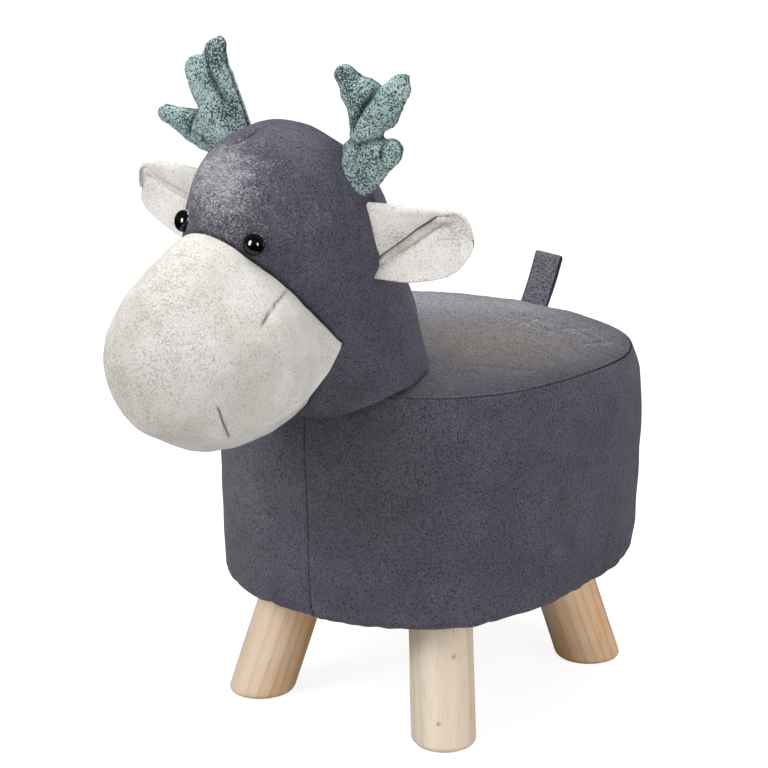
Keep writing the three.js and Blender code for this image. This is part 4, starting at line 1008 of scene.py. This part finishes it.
def printed_suede(
    name, shades, mark, seam, size, crowding, cover, gain, strength,
    rub_and_sheen=None, tanned=None, cells=(0.6, 0.9, 0.7, 0.15), sheen=0.2, pebbled=0.3,
):
    """Napped cloth with a distressed print: soft clouds of two shades, and small darker marks that crowd in patches.
    With a pale colour for wear and sheen, places marked with painted sheen turn evenly paler, and places marked with
    wear and painted light turn paler through broken specks. Between the cells of the skin run dark lines, which
    show where the marks crowd: cells gives the two crowdings between which they appear, their strength and width."""
    material, tree, surface = new_material(
        name, Roughness=0.8, Sheen_Weight=sheen, Sheen_Roughness=0.45, Sheen_Tint=linear(rub_and_sheen or shades[1]),
        Specular_IOR_Level=0.2,
    )
    spot = add(tree, "TexCoord").outputs["Object"]
    wear_and_painted_light = add(tree, "Attribute", attribute_name="wear_and_painted_light").outputs["Fac"]
    dark = add(tree, "Attribute", attribute_name="crease").outputs["Fac"]

    # Two shades of the dye in soft clouds
    cloud = {"Vector": spot, "Scale": per_metre(CLOUD), "Detail": 4, "Roughness": 0.6}
    cloud = add(tree, "TexNoise", cloud).outputs[0]
    shade = {"Value": cloud, "From Min": 0.34, "From Max": 0.66}
    shade = add(tree, "MapRange", shade, interpolation_type="SMOOTHSTEP").outputs[0]
    shade = {0: shade, 6: linear(shades[0]), 7: linear(shades[1])}
    colour = add(tree, "Mix", shade, data_type="RGBA").outputs[2]
    if tanned:
        browned = add(tree, "Attribute", attribute_name="tan").outputs["Fac"]
        amount = add(tree, "Math", {0: browned, 1: 0.8}, operation="MULTIPLY", use_clamp=True).outputs[0]
        colour = add(tree, "Mix", {0: amount, 6: colour, 7: linear(tanned)}, data_type="RGBA").outputs[2]

    # Painted sheen: an even paling where the pieces mark a painted highlight; and broken pale specks where the mark of
    # wear and painted light is high, which is real wear on the band and partly painted sheen on the forehead
    full = strength
    if rub_and_sheen:
        painted_sheen_mark = add(tree, "Attribute", attribute_name="painted_sheen").outputs["Fac"]
        amount = add(tree, "Math", {0: painted_sheen_mark, 1: 0.7}, operation="MULTIPLY", use_clamp=True).outputs[0]
        colour = add(tree, "Mix", {0: amount, 6: colour, 7: linear(rub_and_sheen)}, data_type="RGBA").outputs[2]
        specks = {"Vector": spot, "Scale": per_metre(SPECK), "Detail": 2, "Roughness": 0.7}
        specks = add(tree, "TexNoise", specks).outputs[0]
        island = {"Vector": spot, "Scale": per_metre(SOILING), "Detail": 3, "Roughness": 0.6}
        island = add(tree, "TexNoise", island).outputs[0]
        rubbed_and_sheen = add(tree, "Math", {0: island, 1: 0.9, 2: wear_and_painted_light}, operation="MULTIPLY_ADD").outputs[0]
        rubbed_and_sheen = add(tree, "Math", {0: specks, 1: 1.4, 2: rubbed_and_sheen}, operation="MULTIPLY_ADD").outputs[0]
        rubbed_and_sheen = {"Value": rubbed_and_sheen, "From Min": 1.6, "From Max": 2.0, "To Max": 0.9}
        rubbed_and_sheen = add(tree, "MapRange", rubbed_and_sheen).outputs[0]
        colour = add(tree, "Mix", {0: rubbed_and_sheen, 6: colour, 7: linear(rub_and_sheen)}, data_type="RGBA").outputs[2]
        full = add(tree, "MapRange", {"Value": rubbed_and_sheen, "To Min": strength, "To Max": 0.7 * strength}).outputs[0]

    # The print: small marks that crowd in patches, and lines between the cells of the skin
    crowd = {"Vector": spot, "Scale": per_metre(CROWDING), "Detail": 3, "Roughness": 0.6}
    crowd = add(tree, "TexNoise", crowd).outputs[0]
    grain = {"Vector": spot, "Scale": per_metre(size), "Detail": 1, "Roughness": 0.5, "Distortion": 0.4}
    grain = add(tree, "TexNoise", grain).outputs[0]
    packed = add(tree, "Math", {0: crowd, 1: crowding, 2: grain}, operation="MULTIPLY_ADD").outputs[0]
    # By the gain, the mark of wear and painted light crowds the marks, partly as painted shade in ear and antler folds
    packed = add(tree, "Math", {0: wear_and_painted_light, 1: gain, 2: packed}, operation="MULTIPLY_ADD").outputs[0]
    marks = {"Value": packed, "From Min": cover[0], "From Max": cover[1]}
    marks = add(tree, "MapRange", marks, interpolation_type="SMOOTHSTEP").outputs[0]
    lines_from, lines_to, lines_strength, lines_width = cells
    bend = add(tree, "TexNoise", {"Vector": spot, "Scale": per_metre(CELL_WANDER), "Detail": 2}).outputs["Color"]
    bent = add(tree, "VectorMath", {0: bend, 1: (0.0018,) * 3, 2: spot}, operation="MULTIPLY_ADD").outputs[0]
    edge = {"Vector": bent, "Scale": per_metre(CELL)}
    edge = add(tree, "TexVoronoi", edge, feature="DISTANCE_TO_EDGE").outputs[0]
    lines = {"Value": edge, "From Min": lines_width, "From Max": 0.02, "To Max": lines_strength}
    lines = add(tree, "MapRange", lines).outputs[0]
    here = add(tree, "MapRange", {"Value": packed, "From Min": lines_from, "From Max": lines_to}).outputs[0]
    lines = add(tree, "Math", {0: lines, 1: here}, operation="MULTIPLY").outputs[0]
    marks = add(tree, "Math", {0: lines, 1: marks}, operation="MAXIMUM").outputs[0]
    amount = add(tree, "Math", {0: marks, 1: full}, operation="MULTIPLY", use_clamp=True).outputs[0]
    colour = add(tree, "Mix", {0: amount, 6: colour, 7: linear(mark)}, data_type="RGBA").outputs[2]

    # Seams and stitches, and painted shade in the folds, along the head's foot and in the muzzle's tuck
    line = add(tree, "Math", {0: dark, 1: 0.9}, operation="MULTIPLY", use_clamp=True).outputs[0]
    colour = add(tree, "Mix", {0: line, 6: colour, 7: linear(seam)}, data_type="RGBA").outputs[2]
    tree.links.new(colour, surface.inputs["Base Color"])

    # Relief: the pebbled skin with its cracks sunk in, and the soft crumple of the cloth
    pebble = {"Vector": spot, "Scale": per_metre(PEBBLE), "Detail": 1, "Roughness": 0.5}
    pebble = add(tree, "TexNoise", pebble).outputs[0]
    relief = add(tree, "Math", {0: marks, 1: -0.5, 2: pebble}, operation="MULTIPLY_ADD").outputs[0]
    crumple = {"Vector": spot, "Scale": per_metre(CRUMPLE), "Detail": 3, "Roughness": 0.55}
    crumple = add(tree, "TexNoise", crumple).outputs[0]
    fine = add(tree, "Bump", {"Strength": pebbled, "Distance": 0.001, "Height": relief}).outputs[0]
    soft = add(tree, "Bump", {"Strength": 0.4, "Distance": 0.0016, "Height": crumple, "Normal": fine}).outputs[0]
    tree.links.new(soft, surface.inputs["Normal"])
    return material


def sanded_pine(name, own_grain):
    """Bare sanded pine: pale early wood, tan late wood in rings about 8 mm apart, which the Wave node draws at 0.31 of
    its size, and short brown dashes along the grain. The tone leads from the pale shades to the tan ones, which on the
    legs also stand for painted shade."""
    material, tree, surface = new_material(name, Roughness=0.55, Specular_IOR_Level=0.4, IOR=1.5)
    if own_grain:
        spot = add(tree, "Attribute", attribute_name="grain").outputs["Vector"]
    else:
        spot = add(tree, "TexCoord").outputs["Object"]
    tone = add(tree, "Attribute", attribute_name="tone").outputs["Fac"]
    pith = {"Vector": spot, "Location": (0.019, 0.011, 0), "Rotation": (0.05, 0.07, 0), "Scale": (1, 1, 0.12)}
    pith = add(tree, "Mapping", pith).outputs[0]
    wander = add(tree, "TexNoise", {"Vector": pith, "Scale": per_metre(22), "Detail": 2}).outputs["Color"]
    bent = add(tree, "VectorMath", {0: wander, 1: (0.006,) * 3, 2: pith}, operation="MULTIPLY_ADD").outputs[0]
    rings = {"Vector": bent, "Scale": per_metre(26), "Distortion": 1.2, "Detail": 2, "Detail Scale": 2}
    ring_kind = {"wave_type": "RINGS", "rings_direction": "Z", "wave_profile": "SAW"}
    rings = add(tree, "TexWave", rings, **ring_kind).outputs["Fac"]
    late = {"Value": rings, "From Min": 0.45, "From Max": 1.0, "To Max": 0.5}
    late = add(tree, "MapRange", late, interpolation_type="SMOOTHSTEP").outputs[0]
    early_wood = {0: tone, 6: linear("#efdfcb"), 7: linear("#f2c597")}
    early_wood = add(tree, "Mix", early_wood, data_type="RGBA").outputs[2]
    late_wood = {0: tone, 6: linear("#dcc5a6"), 7: linear("#d29a64")}
    late_wood = add(tree, "Mix", late_wood, data_type="RGBA").outputs[2]
    colour = add(tree, "Mix", {0: late, 6: early_wood, 7: late_wood}, data_type="RGBA").outputs[2]
    drawn = add(tree, "Mapping", {"Vector": spot, "Scale": (1, 1, 0.045)}).outputs[0]
    dashes = {"Vector": drawn, "Scale": per_metre(1.1), "Detail": 3, "Roughness": 0.6}
    dashes = add(tree, "TexNoise", dashes).outputs[0]
    dashes = {"Value": dashes, "From Min": 0.6, "From Max": 0.72, "To Max": 0.55}
    dashes = add(tree, "MapRange", dashes).outputs[0]
    colour = add(tree, "Mix", {0: dashes, 6: colour, 7: linear("#a9794c")}, data_type="RGBA").outputs[2]
    blush = add(tree, "TexNoise", {"Vector": spot, "Scale": per_metre(30), "Detail": 3}).outputs[0]
    blush = add(tree, "MapRange", {"Value": blush, "From Min": 0.5, "From Max": 0.7, "To Max": 0.35}).outputs[0]
    colour = add(tree, "Mix", {0: blush, 6: colour, 7: linear("#efe2cd")}, data_type="RGBA").outputs[2]
    knot = add(tree, "Attribute", attribute_name="knot").outputs["Fac"]
    colour = add(tree, "Mix", {0: knot, 6: colour, 7: linear("#6b5138")}, data_type="RGBA").outputs[2]
    tree.links.new(colour, surface.inputs["Base Color"])
    bump = add(tree, "Bump", {"Strength": 0.3, "Distance": 0.0003, "Height": dashes}, invert=True).outputs[0]
    tree.links.new(bump, surface.inputs["Normal"])
    return material


def boarded(name, colours, size, stretch, roughness, metallic=0.0):
    """Stock with one grain: two shades of a noise of that size, drawn out by the stretch, with a slight relief."""
    material, tree, surface = new_material(name, Roughness=roughness, Metallic=metallic)
    spot = add(tree, "Mapping", {"Vector": add(tree, "TexCoord").outputs["Object"], "Scale": stretch}).outputs[0]
    grain = add(tree, "TexNoise", {"Vector": spot, "Scale": per_metre(size), "Detail": 5, "Roughness": 0.65}).outputs[0]
    share = add(tree, "MapRange", {"Value": grain, "From Min": 0.35, "From Max": 0.65}).outputs[0]
    colour = add(tree, "Mix", {0: share, 6: linear(colours[0]), 7: linear(colours[1])}, data_type="RGBA").outputs[2]
    tree.links.new(colour, surface.inputs["Base Color"])
    bump = add(tree, "Bump", {"Strength": 0.4, "Distance": 0.0003, "Height": grain}).outputs[0]
    tree.links.new(bump, surface.inputs["Normal"])
    return material


def glossy_button(name):
    """Moulded black acrylic, polished: near black, with sharp reflections and faint handling marks."""
    material, tree, surface = new_material(name, Base_Color=linear("#030304"), IOR=1.49, Specular_IOR_Level=0.6)
    spot = add(tree, "TexCoord").outputs["Object"]
    marks = add(tree, "TexNoise", {"Vector": spot, "Scale": per_metre(2.5), "Detail": 3}).outputs[0]
    rough = add(tree, "MapRange", {"Value": marks, "To Min": 0.05, "To Max": 0.12}).outputs[0]
    tree.links.new(rough, surface.inputs["Roughness"])
    return material


# Microfibre suede dyed charcoal blue and distressed: dull, with a soft sheen, black cracks, nap gone grey, and painted
#  sheen and painted shade where the pieces mark them
grey_suede = printed_suede(
    "distressed_grey_suede", shades=("#565462", "#615f6d"), mark="#2a2833", seam="#1d1c24", size=1.5, crowding=0.1,
    cover=(0.57, 0.7), gain=0, strength=0.8, rub_and_sheen="#b6b4b9", tanned="#958e83", cells=(0.28, 0.66, 0.85, 0.3),
    sheen=0.35, pebbled=1,
)
# Printed off-white suede: warm white with a faint crackle of brown specks
pale_suede = printed_suede(
    "crackled_pale_suede", shades=("#cfccc6", "#dddbd7"), mark="#947a6d", seam="#452e28", size=1.5, crowding=0.45,
    cover=(0.85, 0.97), gain=0.15, strength=0.5, sheen=0.1, pebbled=0.12,
)
# The ears' paler piece of the same cloth, with painted shade in brown along its folds
ear_suede = printed_suede(
    "crackled_ear_suede", shades=("#e4e1dc", "#f0eeeb"), mark="#8f7064", seam="#2e1d19", size=1.5, crowding=0.45,
    cover=(0.87, 0.99), gain=0.2, strength=0.5, sheen=0.1, pebbled=0.12,
)
# Grey-teal suede: a pale ground almost covered by a dark crackled print
teal_cloth = printed_suede(
    "crackled_teal_suede", shades=("#9bb7b6", "#bcd3d2"), mark="#1d3033", seam="#0d181b", size=1.3, crowding=0.35,
    cover=(0.68, 0.78), gain=0.11, strength=0.95, cells=(0.45, 0.8, 0.9, 0.22),
)
# Spun polyester thread: matt, nearly black, with its ply as a fine unevenness
thread = boarded("charcoal_thread", ("#1f1f25", "#2c2c34"), 0.6, (1, 1, 1), 0.85)
# Turned and sanded pine, left bare: satin, pale to honey-coloured, and the rougher sawn posts inside
pine = sanded_pine("sanded_pine_leg", own_grain=True)
post_pine = sanded_pine("rough_pine_post", own_grain=False)
# Rotary-cut birch plywood: dull and pale, with long grain
plywood = boarded("birch_plywood", ("#c39f6d", "#d9bb8c"), 3, (1, 0.08, 1), 0.65)
# Hot-pressed hardboard: brown, with matted fibres of no direction
hardboard = boarded("pressed_hardboard", ("#6c4c31", "#8a6647"), 2.2, (1, 1, 1), 0.75)
# Polyurethane foam and polyester wadding: dull cream, with open cells drawn at 1.4 mm
foam = boarded("open_cell_foam", ("#dcd3b0", "#efe9ce"), 1.4, (1, 1, 1), 0.95)
# Spunbond polypropylene: matt black, with fibres laid mostly one way
liner = boarded("spunbond_liner", ("#1d1d20", "#303035"), 1.2, (1, 0.5, 1), 0.9)
# Zinc-plated steel: blue-white metal with dull patches of the plating
zinc = boarded("zinc_plated_steel", ("#a9adb2", "#c6c9cc"), 6, (1, 1, 1), 0.38, metallic=1.0)
# Injection-moulded nylon: off-white, half dull
washer_plastic = boarded("moulded_nylon", ("#dcdcd6", "#e8e8e4"), 5, (1, 1, 1), 0.45)
button = glossy_button("polished_black_acrylic")

# The material of each CAD node whose name starts in this way; any other node is of the grey suede.
NODE_FINISHES = {
    "base_board": plywood, "seat_board": plywood, "side_wall": hardboard, "frame_post": post_pine, "leg_": post_pine,
    "lower_screw": zinc, "upper_screw": zinc, "leg_bolt": zinc, "tee_nut": zinc, "eye_washer": washer_plastic,
    "seat_foam": foam, "side_foam": foam, "head_filling": foam, "dust_cover": liner, "eye_": button,
    "antler": teal_cloth, "ear": ear_suede, "muzzle": pale_suede,
}


def finish_node(node, material):
    if not node.material_slots:
        node.data.materials.append(material)
    for place in node.material_slots:
        place.material = material


for node_name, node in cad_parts.items():
    matches = [key for key in NODE_FINISHES if node_name.startswith(key)]
    finish_node(node, NODE_FINISHES[max(matches, key=len)] if matches else grey_suede)

padded_pieces = {
    seat_top(): (grey_suede, 0.8),
    side_band(): (grey_suede, 0.7),
    head(): (grey_suede, 0.85),
    muzzle(): (pale_suede, 0.85),
    ear("ear_left", **EARS["ear_left"]): (ear_suede, 0.3),
    ear("ear_right", **EARS["ear_right"]): (ear_suede, 0.3),
    antler("antler_left", 51): (teal_cloth, 0.7),
    antler("antler_right", 61): (teal_cloth, 0.7),
}
for piece, (material, fill) in padded_pieces.items():
    piece.data.materials.append(material)

plain_pieces = {
    eye("eye_left"): button,
    eye("eye_right"): button,
    tail(): grey_suede,
    dust_cover(): liner,
    rim_thread(): thread,
    leg("front_left", 0.05, 3, [(0.28, 70), (6.04, 22)]): pine,
    leg("front_right", 0.6, 5, swing=0.5): pine,
    leg("rear_left", 0.9, 8): pine,
    leg("rear_right", 0.5, 11): pine,
}
for piece, material in plain_pieces.items():
    piece.data.materials.append(material)


# Studio: pale floor and backdrop that keep the shadow, a soft key from the upper left, a fill and a top light

# To the camera the floor is nearly white and keeps the shadow. It lights the object as pale card would, and polished
# surfaces see it dark, as they see a studio's unlit side.
FLOOR_CARD, FLOOR_MIRRORED, FLOOR_SHOWN, FLOOR_GLOW = "#cbcbc9", "#202020", "#a0a0a0", 0.87
WORLD_LIGHT, WORLD_MIRRORED = 0.38, 0.1


def studio_floor():
    """A level square 12 m wide."""
    mesh = bpy.data.meshes.new("studio_floor")
    mesh.from_pydata([(-6, -6, 0), (6, -6, 0), (6, 6, 0), (-6, 6, 0)], [], [(0, 1, 2, 3)])
    floor = bpy.data.objects.new("studio_floor", mesh)
    scene.collection.objects.link(floor)
    material = bpy.data.materials.new("matte_white_floor")
    material.use_nodes = True
    tree = material.node_tree
    tree.nodes.clear()
    ray = add(tree, "LightPath")
    card = {0: ray.outputs["Is Glossy Ray"], 6: linear(FLOOR_CARD), 7: linear(FLOOR_MIRRORED)}
    card = add(tree, "Mix", card, data_type="RGBA").outputs[2]
    lit = add(tree, "BsdfDiffuse", {"Color": card}).outputs[0]
    faint = add(tree, "BsdfDiffuse", {"Color": linear(FLOOR_SHOWN)}).outputs[0]
    glow = add(tree, "Emission", {"Color": linear("#ffffff"), "Strength": FLOOR_GLOW}).outputs[0]
    shown = add(tree, "AddShader", {0: faint, 1: glow}).outputs[0]
    surface = add(tree, "MixShader", {0: ray.outputs["Is Camera Ray"], 1: lit, 2: shown}).outputs[0]
    add(tree, "OutputMaterial", {"Surface": surface})
    floor.data.materials.append(material)


def studio_world():
    """White to the camera, soft light on the object, and darker in polished surfaces."""
    world = bpy.data.worlds.new("studio_world")
    world.use_nodes = True
    scene.world = world
    tree = world.node_tree
    tree.nodes.clear()
    ray = add(tree, "LightPath")
    seen = {0: ray.outputs["Is Camera Ray"], 1: ray.outputs["Is Transmission Ray"]}
    seen = add(tree, "Math", seen, operation="MAXIMUM").outputs[0]
    soft = {"Value": ray.outputs["Is Glossy Ray"], "To Min": WORLD_LIGHT, "To Max": WORLD_MIRRORED}
    soft = add(tree, "MapRange", soft).outputs[0]
    strength = add(tree, "MapRange", {"Value": seen, "To Min": soft, "To Max": 1.0}).outputs[0]
    sky = add(tree, "Background", {"Color": linear("#ffffff"), "Strength": strength}).outputs[0]
    add(tree, "OutputWorld", {"Surface": sky})


def lamp(name, place, aim, power, size, mirrored=False):
    """A round lamp for the soft light, or an upright one that only shows as a catchlight in glossy surfaces."""
    data = bpy.data.lights.new(name, "AREA")
    data.shape, data.size, data.energy = "ELLIPSE" if mirrored else "DISK", size, power
    data.size_y = 1.6 * size
    made = bpy.data.objects.new(name, data)
    made.visible_glossy, made.visible_diffuse = mirrored, not mirrored
    made.location = place
    made.rotation_euler = (Vector(aim) - Vector(place)).to_track_quat("-Z", "Y").to_euler()
    scene.collection.objects.link(made)


CAMERA_AZIMUTH, CAMERA_ELEVATION, CAMERA_DISTANCE = math.radians(35.2), math.radians(17), 2.2
CAMERA_TARGET = Vector(to_frame([-0.5, -65, 258.2]))
CAMERA_LENS, SENSOR_WIDTH = 134.3, 36
level_share = math.cos(CAMERA_ELEVATION)
toward = Vector((
    math.sin(CAMERA_AZIMUTH) * level_share, -math.cos(CAMERA_AZIMUTH) * level_share, math.sin(CAMERA_ELEVATION),
))
leftward = Vector((-math.cos(CAMERA_AZIMUTH), -math.sin(CAMERA_AZIMUTH), 0))
upward = Vector((0, 0, 1))

camera_data = bpy.data.cameras.new("camera")
camera_data.sensor_width, camera_data.lens = SENSOR_WIDTH, CAMERA_LENS
camera = bpy.data.objects.new("camera", camera_data)
camera.location = CAMERA_TARGET + toward * CAMERA_DISTANCE
camera.rotation_euler = (-toward).to_track_quat("-Z", "Y").to_euler()
scene.collection.objects.link(camera)
scene.camera = camera

studio_floor()
studio_world()
aim = Vector((0, 0, 0.3))
lamp("key", aim + leftward * 1.65 + toward * 1.1 + upward * 0.95, aim, 28.5, 1.1)
lamp("fill", aim - leftward * 1.6 + toward * 1.5, aim, 14.5, 1.2)
lamp("top", aim + Vector((-0.1, 0.3, 1.9)), aim, 31, 1.4)
lamp("left_catchlight", aim + leftward * 0.9 + toward * 1.6 + upward * 0.2, aim, 62, 0.8, mirrored=True)
lamp("right_catchlight", aim - leftward * 0.86 + toward * 1.6 - upward * 0.2, aim, 14, 0.45, mirrored=True)

scene.view_settings.view_transform = "Standard"
